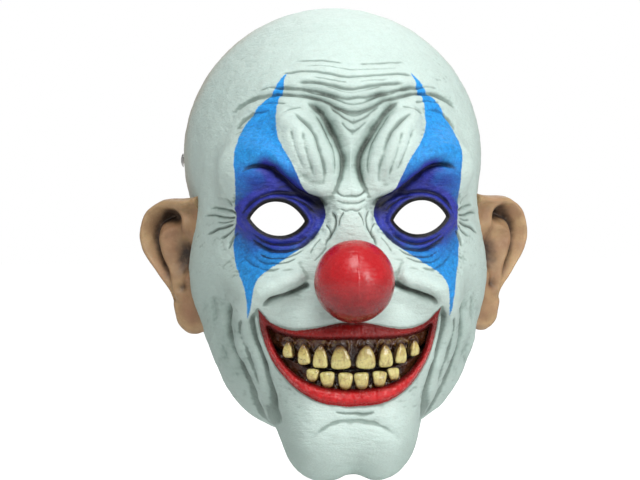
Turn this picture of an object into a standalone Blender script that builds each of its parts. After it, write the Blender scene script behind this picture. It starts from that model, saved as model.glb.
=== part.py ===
"""A latex clown mask that covers the face, crown and ears and is open at the back.

The skin is one thin casting. The ears, the nose ball, the gum plate and the teeth are cast on their own and bonded
to it, and an elastic strap, riveted behind the ears, holds the mask on. Metres, +Z up, the face looks along -Y.
The origin is the middle of the wearer's head at the height of the eyes. Left and right are the wearer's.
"""

import math

import bmesh
import bpy
import numpy as np
from mathutils import Matrix, Vector

MM = 0.001

# Driving dimensions.
WALL = 2.5 * MM
GAP = 0.3 * MM
NOSE_CENTRE = (0, -108 * MM, -38 * MM)
NOSE_RADIUS = 25 * MM
NOSE_WALL = 2.5 * MM
EYE_CENTRE = (43.4 * MM, 0.0)
EYE_SIZE = (16.6 * MM, 11.2 * MM, 9.6 * MM)
MOUTH_HALF_WIDTH = 50 * MM
MOUTH_CORNER_Z = -65.5 * MM
MOUTH_TOP_Z = -74 * MM
MOUTH_BOTTOM_Z = -105 * MM
HINGE = (46 * MM, 38 * MM)
STRAP_WIDTH = 20 * MM
STRAP_THICK = 1.6 * MM
STRAP_BACK_Y = 108 * MM
STRAP_CORNER = 34 * MM

# The head form: ellipsoids as name, centre, radii, and how far each blends into the rest, in millimetres.
MIDLINE_LUMPS = [
    ("cranium", (0, 30, 40), (95, 112, 94), 0),
    ("midface", (0, -2, -34), (94, 80, 82), 20),
    ("face", (0, -20, -14), (72, 66, 88), 25),
    ("muzzle", (0, -47, -84), (57, 50, 46), 18),
    ("throat", (0, -30, -92), (48, 50, 47), 22),
    ("bridge", (0, -74, -6), (13, 17, 26), 12),
    ("nose_root", (0, -80, -38), (26, 14, 18), 10),
]
# One of each pair sits at +X and its mirror image at -X. The last value leans it outwards, in degrees.
PAIRED_LUMPS = [
    ("jowl", (34, -12, -78), (44, 54, 52), 16, 0),
    ("chin", (16, -64, -124), (27, 34, 37), 16, 0),
    ("brow", (48, -60, 30), (30, 24, 21), 12, 0),
    ("frown", (23, -72, 36), (12, 19, 32), 10, -34),
]
SOCKET = ((46, -93, 2), (32, 16, 22), 13)
SOFT_LUMPS = [
    ("lid", (43, -58, 0), (25, 25, 18), 8, 0),
    ("cheek", (43, -64, -40), (30, 25, 14), 9, -20),
]

# The skin is drawn on rays that fan out from a point inside the head, in rings round the nose.
RAY_START = np.array([0, 45, -10]) * MM
RAY_AXIS = (np.array(NOSE_CENTRE) - RAY_START) / np.linalg.norm(np.array(NOSE_CENTRE) - RAY_START)
RAY_RIGHT = np.array([1.0, 0, 0])
RAY_UP = np.cross(RAY_AXIS, RAY_RIGHT)
# How far the rear rim is from the nose's direction, in degrees: under the chin, jaw, ear, temple and crown.
RIM_TURN = (-90, -60, -35, -15, 0, 20, 45, 90)
RIM_ANGLE = (62, 67, 80, 91, 97, 103, 107, 110)
SKIN_COLUMNS = 80
SKIN_RINGS = 28

# Teeth from the midline outwards: middle, width, bottom and top, in millimetres.
UPPER_TEETH = [(8.2, 12.2, -90.6, -76.5), (19.6, 9.2, -90.0, -76.5), (30.0, 7.8, -88.0, -76.0),
               (38.4, 6.4, -84.0, -74.5)]
LOWER_TEETH = [(5.2, 9.2, -103.6, -93.2), (15.5, 9.0, -102.2, -92.6), (25.0, 7.8, -98.4, -91.0)]
TOOTH_DEPTH = 4.4 * MM
GUM_DEPTH = 4.8 * MM
GUM_MARGIN = 3 * MM

PALE = (0.72, 0.80, 0.76)
FLESH = (0.55, 0.38, 0.25)
RED = (0.60, 0.03, 0.03)
GUM = (0.16, 0.06, 0.04)
IVORY = (0.70, 0.60, 0.26)
BLACK = (0.02, 0.02, 0.02)
STEEL = (0.60, 0.60, 0.62)
LATEX = (0.72, 0.62, 0.42)


def clear_scene():
    for obj in list(bpy.data.objects):
        bpy.data.objects.remove(obj)


def material(name, colour, roughness, metallic=0.0):
    made = bpy.data.materials.new(name)
    made.use_nodes = True
    shader = made.node_tree.nodes["Principled BSDF"]
    shader.inputs["Base Color"].default_value = (*colour, 1)
    shader.inputs["Roughness"].default_value = roughness
    shader.inputs["Metallic"].default_value = metallic
    return made


def collection(name):
    made = bpy.data.collections.new(name)
    bpy.context.scene.collection.children.link(made)
    return made


def add(name, mesh, finish=None, into=None):
    """An object of this mesh in the part's collection, or in another."""
    obj = bpy.data.objects.new(name, mesh)
    (into or PART).objects.link(obj)
    if finish:
        mesh.materials.append(finish)
    return obj


def add_cutter(name, mesh):
    cutter = add(name, mesh, into=CUTTERS)
    cutter.hide_render = True
    cutter.display_type = "WIRE"
    return cutter


def cut(obj, cutter):
    boolean = obj.modifiers.new("cut_" + cutter.name, "BOOLEAN")
    boolean.operation = "DIFFERENCE"
    boolean.object = cutter


def join(obj, other):
    boolean = obj.modifiers.new("join_" + other.name, "BOOLEAN")
    boolean.operation = "UNION"
    boolean.object = other


def grid_mesh(name, points, closed_round=False, flip=False):
    """A sheet of quads over rows of points. closed_round joins each row's ends."""
    rows, columns = len(points), len(points[0])
    mesh_points = [Vector(p) for row in points for p in row]
    last = columns if closed_round else columns - 1
    faces = []
    for i in range(rows - 1):
        for j in range(last):
            k = (j + 1) % columns
            face = (i * columns + j, (i + 1) * columns + j, (i + 1) * columns + k, i * columns + k)
            faces.append(face[::-1] if flip else face)
    mesh = bpy.data.meshes.new(name)
    mesh.from_pydata(mesh_points, [], faces)
    mesh.shade_smooth()
    return mesh


def solidify(obj, thickness, inwards=True):
    shell = obj.modifiers.new("wall", "SOLIDIFY")
    shell.thickness = thickness
    shell.offset = -1 if inwards else 0
    shell.use_even_offset = True


def mesh_of_curve(curve_object):
    """The curve's evaluated mesh with its caps welded, so that a Boolean can use it."""
    bpy.context.view_layer.update()
    graph = bpy.context.evaluated_depsgraph_get()
    mesh = bpy.data.meshes.new_from_object(curve_object.evaluated_get(graph))
    mesh.transform(curve_object.matrix_world)
    welded = bmesh.new()
    welded.from_mesh(mesh)
    bmesh.ops.remove_doubles(welded, verts=welded.verts, dist=0.01 * MM)
    welded.to_mesh(mesh)
    welded.free()
    bpy.data.objects.remove(curve_object)
    return mesh


def front_prism(name, outline, near_y, far_y):
    """A closed outline in X and Z, extruded along Y."""
    curve = bpy.data.curves.new(name, "CURVE")
    curve.dimensions = "2D"
    curve.fill_mode = "BOTH"
    curve.extrude = abs(far_y - near_y) / 2
    spline = curve.splines.new("POLY")
    spline.points.add(len(outline) - 1)
    for knot, (x, z) in zip(spline.points, outline):
        knot.co = (x, z, 0, 1)
    spline.use_cyclic_u = True
    flat = add(name, curve, into=CUTTERS)
    flat.rotation_euler = (math.pi / 2, 0, 0)
    flat.location = (0, (near_y + far_y) / 2, 0)
    return mesh_of_curve(flat)


def box(name, centre, size, finish=None, into=None, bevel=0.0):
    mesh = bpy.data.meshes.new(name)
    shape = bmesh.new()
    bmesh.ops.create_cube(shape, size=1.0)
    bmesh.ops.scale(shape, vec=size, verts=shape.verts)
    shape.to_mesh(mesh)
    shape.free()
    obj = add(name, mesh, finish, into)
    obj.location = centre
    if bevel:
        rounding = obj.modifiers.new("edges", "BEVEL")
        rounding.width = bevel
        rounding.segments = 2
    return obj


def cylinder_mesh(name, start, end, radius, segments=24):
    """A closed cylinder from one point to another."""
    start, end = Vector(start), Vector(end)
    turn = (end - start).to_track_quat("Z", "Y").to_matrix().to_4x4()
    shape = bmesh.new()
    bmesh.ops.create_cone(
        shape,
        cap_ends=True,
        segments=segments,
        radius1=radius,
        radius2=radius,
        depth=(end - start).length,
        matrix=Matrix.Translation((start + end) / 2) @ turn,
    )
    mesh = bpy.data.meshes.new(name)
    shape.to_mesh(mesh)
    shape.free()
    mesh.shade_smooth()
    mesh.set_sharp_from_angle(angle=math.radians(40))
    return mesh


def ellipsoid(points, centre, radii, lean=0.0):
    """Roughly the distance to an ellipsoid that leans by some degrees in front view."""
    local = points - np.array(centre) * MM
    if lean:
        c, s = math.cos(math.radians(lean)), math.sin(math.radians(lean))
        turn = np.array([[c, 0, s], [0, 1, 0], [-s, 0, c]])
        local = local @ turn.T
    radii = np.array(radii) * MM
    scaled = np.linalg.norm(local / radii, axis=-1)
    slope = np.linalg.norm(local / radii**2, axis=-1)
    return scaled * (scaled - 1) / np.maximum(slope, 1e-9)


def blended(a, b, reach):
    """The smaller of two distances, rounded where they meet."""
    share = np.clip(0.5 + 0.5 * (b - a) / reach, 0, 1)
    return b + (a - b) * share - reach * share * (1 - share)


def form(points):
    """Distance from points to the head form, below zero inside it."""
    near = None
    for _, centre, radii, reach in MIDLINE_LUMPS:
        lump = ellipsoid(points, centre, radii)
        near = lump if near is None else blended(near, lump, reach * MM)
    near = with_pairs(near, points, PAIRED_LUMPS)
    centre, radii, reach = SOCKET
    for side in (1, -1):
        hollow = ellipsoid(points, (side * centre[0], *centre[1:]), radii)
        near = -blended(-near, hollow, reach * MM)
    return with_pairs(near, points, SOFT_LUMPS)


def with_pairs(near, points, lumps):
    for _, (x, y, z), radii, reach, lean in lumps:
        for side in (1, -1):
            near = blended(near, ellipsoid(points, (side * x, y, z), radii, side * lean), reach * MM)
    return near


def along_rays(starts, directions, longest=0.3):
    """How far each ray goes before it leaves the form."""
    low = np.zeros(directions.shape[:-1])
    high = np.full(directions.shape[:-1], longest)
    for _ in range(28):
        middle = (low + high) / 2
        inside = form(starts + directions * middle[..., None]) < 0
        low, high = np.where(inside, middle, low), np.where(inside, high, middle)
    return low


def form_points(polar, around):
    """Points of the form, by their angle from the nose's direction and their turn round it."""
    directions = (
        np.cos(polar)[..., None] * RAY_AXIS
        + (np.sin(polar) * np.cos(around))[..., None] * RAY_RIGHT
        + (np.sin(polar) * np.sin(around))[..., None] * RAY_UP
    )
    return RAY_START + directions * along_rays(RAY_START, directions)[..., None]


def front_y(x, z):
    """Where the front of the form is."""
    start = np.array([x, 0.0, z])
    return -float(along_rays(start, np.array([0, -1.0, 0])))


def side_x(y, z):
    """Half the form's width."""
    return float(along_rays(np.array([0, y, z]), np.array([1.0, 0, 0])))


def nose_ring_angle(around):
    """The polar angle at which the skin comes clear of the nose ball."""
    low, high = np.zeros_like(around), np.full_like(around, math.radians(30))
    for _ in range(24):
        middle = (low + high) / 2
        reach = np.linalg.norm(form_points(middle, around) - np.array(NOSE_CENTRE), axis=-1)
        inside = reach < NOSE_RADIUS + GAP
        low, high = np.where(inside, middle, low), np.where(inside, high, middle)
    return high


def rim_angle(around):
    height = np.degrees(np.arcsin(np.sin(around)))
    return np.radians(np.interp(height, RIM_TURN, RIM_ANGLE))


def eye_outline(side, grow=0.0, steps=14):
    half_width, above, below = (size + grow for size in EYE_SIZE)
    across = [math.cos(math.pi * i / steps) for i in range(steps + 1)]

    def rise(u):
        return (1 - abs(u) ** 2.2) ** 0.85

    upper = [(half_width * u, above * rise(u)) for u in across]
    lower = [(half_width * u, -below * rise(u)) for u in reversed(across[1:-1])]
    return [(side * EYE_CENTRE[0] + x, EYE_CENTRE[1] + z) for x, z in upper + lower]


def mouth_edge(x, middle_z, bend):
    """Height of the mouth's upper or lower edge."""
    return middle_z + (MOUTH_CORNER_Z - middle_z) * abs(x / MOUTH_HALF_WIDTH) ** bend


def mouth_outline(steps=20):
    across = [-math.cos(math.pi * i / steps) * MOUTH_HALF_WIDTH for i in range(steps + 1)]
    lower = [(x, mouth_edge(x, MOUTH_BOTTOM_Z, 3.2)) for x in across]
    upper = [(x, mouth_edge(x, MOUTH_TOP_Z, 2.6)) for x in reversed(across[1:-1])]
    return lower + upper


def build_skin(finish):
    """The one-piece casting with its eye holes, mouth and rivet holes. Returns its outside's points."""
    around = np.arange(SKIN_COLUMNS) * 2 * math.pi / SKIN_COLUMNS
    share = np.linspace(0, 1, SKIN_RINGS)[:, None] ** 0.9
    inner, outer = nose_ring_angle(around), rim_angle(around)
    polar = inner + (outer - inner) * share
    points = form_points(polar, np.broadcast_to(around, polar.shape))
    skin = add("face_skin", grid_mesh("face_skin", points, closed_round=True), finish)
    solidify(skin, WALL)
    far, near = -40 * MM, -130 * MM
    cut(skin, add_cutter("mouth_cut", front_prism("mouth_cut", mouth_outline(), near, far)))
    for side, name in ((-1, "right"), (1, "left")):
        outline = eye_outline(side)
        cut(skin, add_cutter(name + "_eye_cut", front_prism(name + "_eye_cut", outline, near, far)))
        ends = [(side * x * MM, *HINGE) for x in (60, 110)]
        cut(skin, add_cutter(name + "_rivet_cut", cylinder_mesh(name + "_rivet_cut", *ends, 2.4 * MM, 16)))
    return points


def build_nose(finish):
    """A hollow ball, open at the back where it is bonded into the skin."""
    open_angle = math.radians(42)
    steps = 13
    mouth_y = NOSE_RADIUS * math.cos(open_angle)
    inner_radius = NOSE_RADIUS - NOSE_WALL
    inner_open = math.acos(mouth_y / inner_radius)
    outer = [(NOSE_RADIUS, math.pi - (math.pi - open_angle) * i / steps) for i in range(steps + 1)]
    inner = [(inner_radius, inner_open + (math.pi - inner_open) * i / steps) for i in range(steps + 1)]
    profile = [(r * math.sin(a), 0, r * math.cos(a)) for r, a in outer + inner]
    mesh = bpy.data.meshes.new("nose_ball")
    mesh.from_pydata(profile, [(i, i + 1) for i in range(len(profile) - 1)], [])
    ball = add("nose_ball", mesh, finish)
    turned = ball.modifiers.new("turned", "SCREW")
    turned.steps = turned.render_steps = 24
    turned.use_merge_vertices = True
    turned.merge_threshold = 0.0001
    turned.use_smooth_shade = True
    turned.use_normal_flip = True
    ball.rotation_euler = (-math.pi / 2, 0, 0)
    ball.location = NOSE_CENTRE


# Each ear's free edge in front view: how far it stands out from x = 94 mm and its height, in millimetres.
EAR_RIM = [(3, 19), (12, 13), (20, 9.5), (26, 3), (29.4, -8), (28.5, -17), (25, -25), (19.7, -33), (15, -41),
           (12, -49), (9.5, -58), (6.5, -66), (0, -71)]
# Rise in millimetres by share of the way out from the bowl: over the front, round the rolled rim, and the back.
EAR_RELIEF = [(0.12, -4.5), (0.34, -4.0), (0.52, -1.2), (0.64, 0.4), (0.78, -1.2), (0.9, 0.6), (0.97, 0.9),
              (1.0, -1.0), (0.97, -3.2), (0.8, -4.6), (0.5, -5.2), (0.15, -8.5)]
EAR_BOWL = (10, -14)
EAR_ROOT = (94 * MM, -3 * MM)
EAR_TURN = math.radians(48)


def build_ear(side, name, finish, head_cutter):
    """A cupped plate that stands out at EAR_TURN from straight back, with its root cut to the head's side."""
    out = Vector((1, 1 / math.tan(EAR_TURN), 0))
    facing = Vector((math.cos(EAR_TURN), -math.sin(EAR_TURN), 0))
    middle = Vector(EAR_BOWL)
    root = [(-6, EAR_RIM[-1][1] + (EAR_RIM[0][1] - EAR_RIM[-1][1]) * i / 10) for i in range(11)]
    rings = []
    for share, rise in EAR_RELIEF:
        ring = []
        for edge in EAR_RIM + root:
            flat = (middle + (Vector(edge) - middle) * share) * MM
            point = Vector((*EAR_ROOT, flat.y)) + out * flat.x + facing * rise * MM
            ring.append((side * point.x, point.y, point.z))
        rings.append(ring)
    mesh = grid_mesh(name, rings, closed_round=True, flip=side > 0)
    close_ends(mesh, len(rings[0]), len(rings))
    cut(add(name, mesh, finish), head_cutter)


def close_ends(mesh, columns, rows):
    """Fans over the first and last rings of a closed grid."""
    shape = bmesh.new()
    shape.from_mesh(mesh)
    shape.verts.ensure_lookup_table()
    for start in (0, (rows - 1) * columns):
        ring = shape.verts[start : start + columns]
        centre = shape.verts.new(sum((v.co for v in ring), Vector()) / columns)
        for j in range(columns):
            shape.faces.new((centre, ring[j], ring[(j + 1) % columns]))
    bmesh.ops.recalc_face_normals(shape, faces=shape.faces)
    shape.to_mesh(mesh)
    shape.free()


def head_solid(skin_points):
    """The skin's outside closed up and grown by the gap, which trims what is bonded on to it."""
    mesh = grid_mesh("head_cut", skin_points, closed_round=True)
    close_ends(mesh, len(skin_points[0]), len(skin_points))
    grown = [v.co + v.normal * GAP * 1.1 for v in mesh.vertices]
    for vertex, place in zip(mesh.vertices, grown):
        vertex.co = place
    return add_cutter("head_cut", mesh)


def build_gum_plate(finish):
    """A plate behind the mouth opening that follows the inside of the skin."""
    rows, columns = 7, 19
    sheet = []
    for i in range(rows):
        row = []
        for j in range(columns):
            x = (j / (columns - 1) * 2 - 1) * (MOUTH_HALF_WIDTH + GUM_MARGIN)
            top = mouth_edge(x, MOUTH_TOP_Z, 2.6) + GUM_MARGIN
            bottom = mouth_edge(x, MOUTH_BOTTOM_Z, 3.2) - GUM_MARGIN
            z = bottom + (top - bottom) * i / (rows - 1)
            row.append(behind_skin(x, z, GUM_DEPTH))
        sheet.append(row)
    plate = add("gum_plate", grid_mesh("gum_plate", sheet, flip=True), finish)
    solidify(plate, 2.5 * MM)


def front_normal(x, z):
    """The form's outward direction at its front."""
    at = np.array([x, front_y(x, z), z])
    step = 0.2 * MM
    slope = np.array([float(form(at + d) - form(at - d)) for d in np.eye(3) * step])
    return at, slope / np.linalg.norm(slope)


def behind_skin(x, z, depth):
    """A point straight behind the form's front that is depth from its surface."""
    at, outward = front_normal(x, z)
    return (x, at[1] - depth / min(outward[1], -0.55), z)


def build_tooth(name, x, width, bottom, top, finish):
    """A rounded block that stands on the gum plate and faces out from it."""
    middle_z = (bottom + top) / 2
    at, outward = front_normal(x, middle_z)
    heading = math.atan2(outward[0], -outward[1])
    back = GUM_DEPTH - 1.1 * MM
    centre = Vector(at) - Vector((math.sin(heading), -math.cos(heading), 0)) * (back - TOOTH_DEPTH / 2)
    centre.z = middle_z
    tooth = box(name, centre, (width, TOOTH_DEPTH, top - bottom), finish, bevel=1.1 * MM)
    tooth.rotation_euler = (0, 0, heading)


def build_teeth(finish):
    for row, sizes in (("upper", UPPER_TEETH), ("lower", LOWER_TEETH)):
        count = 2 * len(sizes)
        for i in range(count):
            side = -1 if i < len(sizes) else 1
            size = sizes[len(sizes) - 1 - i] if side < 0 else sizes[i - len(sizes)]
            x, width, bottom, top = (value * MM for value in size)
            build_tooth(f"{row}_tooth_{i + 1}", side * x, width, bottom, top, finish)


def strip_mesh(name, route):
    """A band of the strap's width that stands on edge along a route in X and Y."""
    low, high = HINGE[1] - STRAP_WIDTH / 2, HINGE[1] + STRAP_WIDTH / 2
    return grid_mesh(name, [[(x, y, z) for x, y in route] for z in (low, high)])


def arc(centre, radius, start, end, steps):
    """Points on an arc in X and Y, with angles in degrees."""
    angles = [math.radians(start + (end - start) * i / steps) for i in range(steps + 1)]
    return [(centre[0] + radius * math.cos(a), centre[1] + radius * math.sin(a)) for a in angles]


# Where the straps join: the ring's two bars and the slider's rest position.
STRAP_SIDE_X = None
FOLD_RADIUS = 2.75 * MM
RING_BARS_X = (18 * MM, 26 * MM)
RING_WIRE = 1.5 * MM
SLIDER_X = -12 * MM
SLIDER_BAR_Y = STRAP_BACK_Y + 3.6 * MM
RETURN_THICK = 1.2 * MM


def strap_side_x():
    """The strap runs just inside the skin's rear rim."""
    return side_x(64 * MM, HINGE[1]) - WALL - 3.2 * MM - STRAP_THICK / 2


def side_route(side, x):
    """From the eyelet straight back, then round the corner to the flat stretch behind the head."""
    corner = (x - STRAP_CORNER, STRAP_BACK_Y - STRAP_CORNER)
    route = [(x, HINGE[0] - 9 * MM), (x, HINGE[0]), (x, corner[1] - 8 * MM)]
    route += arc(corner, STRAP_CORNER, 0, 90, 12)
    return [(side * px, py) for px, py in route]


def build_straps(elastic, x):
    fold_y = STRAP_BACK_Y + FOLD_RADIUS
    left = side_route(1, x)
    left += arc((RING_BARS_X[1], fold_y), FOLD_RADIUS, 270, 90, 8)
    sewn_x, sewn_y = RING_BARS_X[1] + 10 * MM, STRAP_BACK_Y + 2.1 * MM
    left += [(sewn_x - 4 * MM, fold_y + 0.8 * MM), (sewn_x, sewn_y), (sewn_x + 10 * MM, sewn_y)]
    right = side_route(-1, x)
    right += arc((RING_BARS_X[0], fold_y), FOLD_RADIUS, -90, 90, 8)
    right += [(RING_BARS_X[0] - 1.5 * MM, fold_y + FOLD_RADIUS)]
    for name, route, side in (("left", left, 1), ("right", right, -1)):
        strap = add(name + "_strap", strip_mesh(name + "_strap", route), elastic)
        solidify(strap, STRAP_THICK, inwards=False)
        ends = [(side * (x + d * MM), *HINGE) for d in (-6, 6)]
        cut(strap, add_cutter(name + "_eyelet_cut", cylinder_mesh(name + "_eyelet_cut", *ends, 2.15 * MM, 20)))
    wrap = RETURN_THICK / 2 + 1.3 * MM
    back = [(RING_BARS_X[0] - 1.8 * MM, fold_y + FOLD_RADIUS), (SLIDER_X, fold_y + FOLD_RADIUS)]
    back += arc((SLIDER_X, fold_y + FOLD_RADIUS - wrap), wrap, 90, 270, 8)[1:]
    back += [(SLIDER_X + 4 * MM, fold_y + FOLD_RADIUS - 2 * wrap)]
    strap_return = add("strap_return", strip_mesh("strap_return", back), elastic)
    solidify(strap_return, RETURN_THICK, inwards=False)


def build_ring(finish):
    """A rectangular wire ring that links the two straps."""
    half_z, corner = STRAP_WIDTH / 2 + 2.6 * MM, 2 * MM
    (x0, x1), y, z = RING_BARS_X, STRAP_BACK_Y + FOLD_RADIUS, HINGE[1]
    corners = [(x1 - corner, half_z - corner, 0), (x0 + corner, half_z - corner, 90)]
    corners += [(x0 + corner, corner - half_z, 180), (x1 - corner, corner - half_z, 270)]
    curve = bpy.data.curves.new("strap_ring", "CURVE")
    curve.dimensions = "3D"
    curve.bevel_depth = RING_WIRE
    curve.bevel_resolution = 2
    route = [p for cx, cz, start in corners for p in arc((cx, cz), corner, start, start + 90, 4)]
    spline = curve.splines.new("POLY")
    spline.points.add(len(route) - 1)
    for knot, (px, pz) in zip(spline.points, route):
        knot.co = (px, y, z + pz, 1)
    spline.use_cyclic_u = True
    add("strap_ring", curve, finish)


def build_slider(finish):
    """Two bars pass inside the strap and one outside it, so that it grips where it is put."""
    half_z, end = STRAP_WIDTH / 2 + 0.6 * MM, 2.4 * MM
    inner_y = STRAP_BACK_Y - STRAP_THICK / 2 - 0.4 * MM - 1 * MM
    outer_y = STRAP_BACK_Y + 2 * FOLD_RADIUS - RETURN_THICK / 2 - 1.3 * MM
    z = HINGE[1]
    depth = outer_y - inner_y + 2 * MM
    slider = None
    for name, dz in (("strap_slider", half_z + end / 2), ("slider_foot", -half_z - end / 2)):
        into = None if name == "strap_slider" else CUTTERS
        bar = box(name, (SLIDER_X, (inner_y + outer_y) / 2, z + dz), (17 * MM, depth, end), finish, into, 0.5 * MM)
        if slider is None:
            slider = bar
        else:
            hide_helper(bar)
            join(slider, bar)
    bars = [(-7 * MM, inner_y, 3 * MM), (7 * MM, inner_y, 3 * MM), (0, outer_y, 1.6 * MM)]
    for i, (dx, y, width) in enumerate(bars):
        length = 2 * half_z + end
        bar = box(f"slider_bar_{i}", (SLIDER_X + dx, y, z), (width, 1.6 * MM, length), finish, CUTTERS)
        hide_helper(bar)
        join(slider, bar)


def hide_helper(obj):
    obj.hide_render = True
    obj.display_type = "WIRE"


def build_fixings(latex, steel, strap_x):
    """On each side a patch inside the skin, a rivet through skin, patch and strap, and a washer under its tail."""
    y, z = HINGE
    head_x = side_x(y - 4.5 * MM, z) + GAP
    patch_out = side_x(y + 8 * MM, z) - WALL - 1.9 * MM
    patch_in = strap_x + STRAP_THICK / 2 + GAP
    washer_x = strap_x - STRAP_THICK / 2 - GAP
    for side, name in ((-1, "right"), (1, "left")):
        patch_ends = [(side * x, y, z) for x in (patch_out, patch_in)]
        patch = add(name + "_patch", cylinder_mesh(name + "_patch", *patch_ends, 8 * MM, 28), latex)
        washer_ends = [(side * (washer_x - d * MM), y, z) for d in (0, 1)]
        washer = add(name + "_washer", cylinder_mesh(name + "_washer", *washer_ends, 5 * MM, 28), steel)
        hole = cylinder_mesh(name + "_hole", (side * 60 * MM, y, z), (side * 110 * MM, y, z), 2.4 * MM, 16)
        hole_cutter = add_cutter(name + "_hole", hole)
        cut(patch, hole_cutter)
        cut(washer, hole_cutter)
        build_rivet(name + "_rivet", side, head_x, washer_x - 1 * MM - GAP, steel)


def build_rivet(name, side, head_x, tail_x, finish):
    """Turned about X: a domed head outside, a shank, and a flared tail inside."""
    shank, head, tail = 2 * MM, 4.5 * MM, 3.4 * MM
    profile = [(0, head_x + 1.6 * MM), (head * 0.6, head_x + 1.3 * MM), (head, head_x + 0.6 * MM), (head, head_x)]
    profile += [(shank, head_x), (shank, tail_x), (tail, tail_x), (tail * 0.8, tail_x - 1 * MM), (0, tail_x - 1.2 * MM)]
    mesh = bpy.data.meshes.new(name)
    mesh.from_pydata([(r, 0, x) for r, x in profile], [(i, i + 1) for i in range(len(profile) - 1)], [])
    rivet = add(name, mesh, finish)
    turned = rivet.modifiers.new("turned", "SCREW")
    turned.steps = turned.render_steps = 24
    turned.use_merge_vertices = True
    turned.merge_threshold = 0.00005
    rivet.rotation_euler = (0, side * math.pi / 2, 0)
    rivet.location = (0, *HINGE)


clear_scene()
PART = collection("clown_mask")
CUTTERS = collection("cutters")
painted_latex = material("painted_latex", PALE, 0.6)
flesh_latex = material("flesh_latex", FLESH, 0.6)
red_gloss = material("red_gloss_latex", RED, 0.2)
black_elastic = material("black_elastic", BLACK, 0.9)
steel = material("rivet_steel", STEEL, 0.3, 1.0)

head_cutter = head_solid(build_skin(painted_latex))
build_nose(red_gloss)
build_ear(-1, "right_ear", flesh_latex, head_cutter)
build_ear(1, "left_ear", flesh_latex, head_cutter)
build_gum_plate(material("gum_latex", GUM, 0.3))
build_teeth(material("tooth_latex", IVORY, 0.25))
strap_x = strap_side_x()
build_straps(black_elastic, strap_x)
build_ring(steel)
build_slider(material("black_plastic", BLACK, 0.45))
build_fixings(material("bare_latex", LATEX, 0.7), steel, strap_x)
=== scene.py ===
import math

import bpy
import numpy as np
from mathutils import Matrix, Vector, noise


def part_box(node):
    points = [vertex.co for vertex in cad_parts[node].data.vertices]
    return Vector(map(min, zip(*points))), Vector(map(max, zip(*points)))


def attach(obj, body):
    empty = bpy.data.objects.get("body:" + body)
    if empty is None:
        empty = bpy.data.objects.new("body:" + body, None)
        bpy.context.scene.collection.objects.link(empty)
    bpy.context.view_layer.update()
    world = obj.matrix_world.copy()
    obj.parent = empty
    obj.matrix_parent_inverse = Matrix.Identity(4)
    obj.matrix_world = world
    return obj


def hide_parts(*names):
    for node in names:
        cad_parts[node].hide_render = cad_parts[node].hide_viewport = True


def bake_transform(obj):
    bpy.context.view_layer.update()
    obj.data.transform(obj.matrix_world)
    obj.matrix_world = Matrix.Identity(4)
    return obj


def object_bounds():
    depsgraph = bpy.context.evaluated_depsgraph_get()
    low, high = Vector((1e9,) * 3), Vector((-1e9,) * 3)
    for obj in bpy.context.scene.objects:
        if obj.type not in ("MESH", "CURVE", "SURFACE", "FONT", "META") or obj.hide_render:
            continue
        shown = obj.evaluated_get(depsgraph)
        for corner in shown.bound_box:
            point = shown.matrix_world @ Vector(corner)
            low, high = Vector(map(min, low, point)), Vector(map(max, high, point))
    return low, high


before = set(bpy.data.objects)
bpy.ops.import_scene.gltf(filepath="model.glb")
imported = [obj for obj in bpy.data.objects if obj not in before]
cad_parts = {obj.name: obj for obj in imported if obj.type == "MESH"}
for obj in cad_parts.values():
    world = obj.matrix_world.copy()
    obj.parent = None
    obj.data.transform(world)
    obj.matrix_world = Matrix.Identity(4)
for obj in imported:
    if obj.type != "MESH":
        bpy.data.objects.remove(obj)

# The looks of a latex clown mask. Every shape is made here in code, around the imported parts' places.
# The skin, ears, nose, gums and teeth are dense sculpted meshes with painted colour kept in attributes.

CAD_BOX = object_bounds()
MM = 0.001

# The head form: centre and radii of each lump, how far it blends, and its lean, in millimetres and degrees.
MIDLINE_LUMPS = [
    ((0, 30, 40), (95, 112, 94), 0),
    ((0, -2, -34), (94, 80, 82), 20),
    ((0, -20, -14), (72, 66, 88), 25),
    ((0, -47, -84), (57, 50, 46), 18),
    ((0, -30, -92), (48, 50, 47), 22),
    ((0, -74, -6), (13, 17, 26), 12),
    ((0, -80, -38), (26, 14, 18), 10),
]
PAIRED_LUMPS = [
    ((34, -12, -78), (44, 54, 52), 16, 0),
    ((16, -64, -124), (27, 34, 37), 16, 0),
    ((48, -60, 30), (30, 24, 21), 20, 0),
    ((23, -72, 36), (12, 19, 32), 10, -34),
]
SOCKET = ((46, -93, 2), (32, 16, 22), 13)
SOFT_LUMPS = [
    ((43, -58, 0), (25, 25, 18), 8, 0),
    ((43, -64, -40), (30, 25, 14), 14, -20),
]
NOSE = np.array([0, -108, -38]) * MM
NOSE_RADIUS = 25 * MM

# The skin's points lie on rays from inside the head, whose pole is the ray through the nose. The rear rim is
# RIM_ANGLE degrees from that pole, by the ray's turn round it: -90 is straight down and 90 straight up.
RAY_START = np.array([0, 45, -10]) * MM
RAY_AXIS = (NOSE - RAY_START) / np.linalg.norm(NOSE - RAY_START)
RAY_RIGHT = np.array([1.0, 0, 0])
RAY_UP = np.cross(RAY_AXIS, RAY_RIGHT)
RIM_TURN = (-90, -60, -35, -15, 0, 20, 45, 90)
RIM_ANGLE = (62, 67, 80, 91, 97, 103, 107, 110)
WALL = 2.2 * MM
LONGEST_RAY = 0.3
HALVINGS = 22
FORWARD = np.array([0, -1.0, 0])


# ---------------------------------------------------------------- numbers

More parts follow.
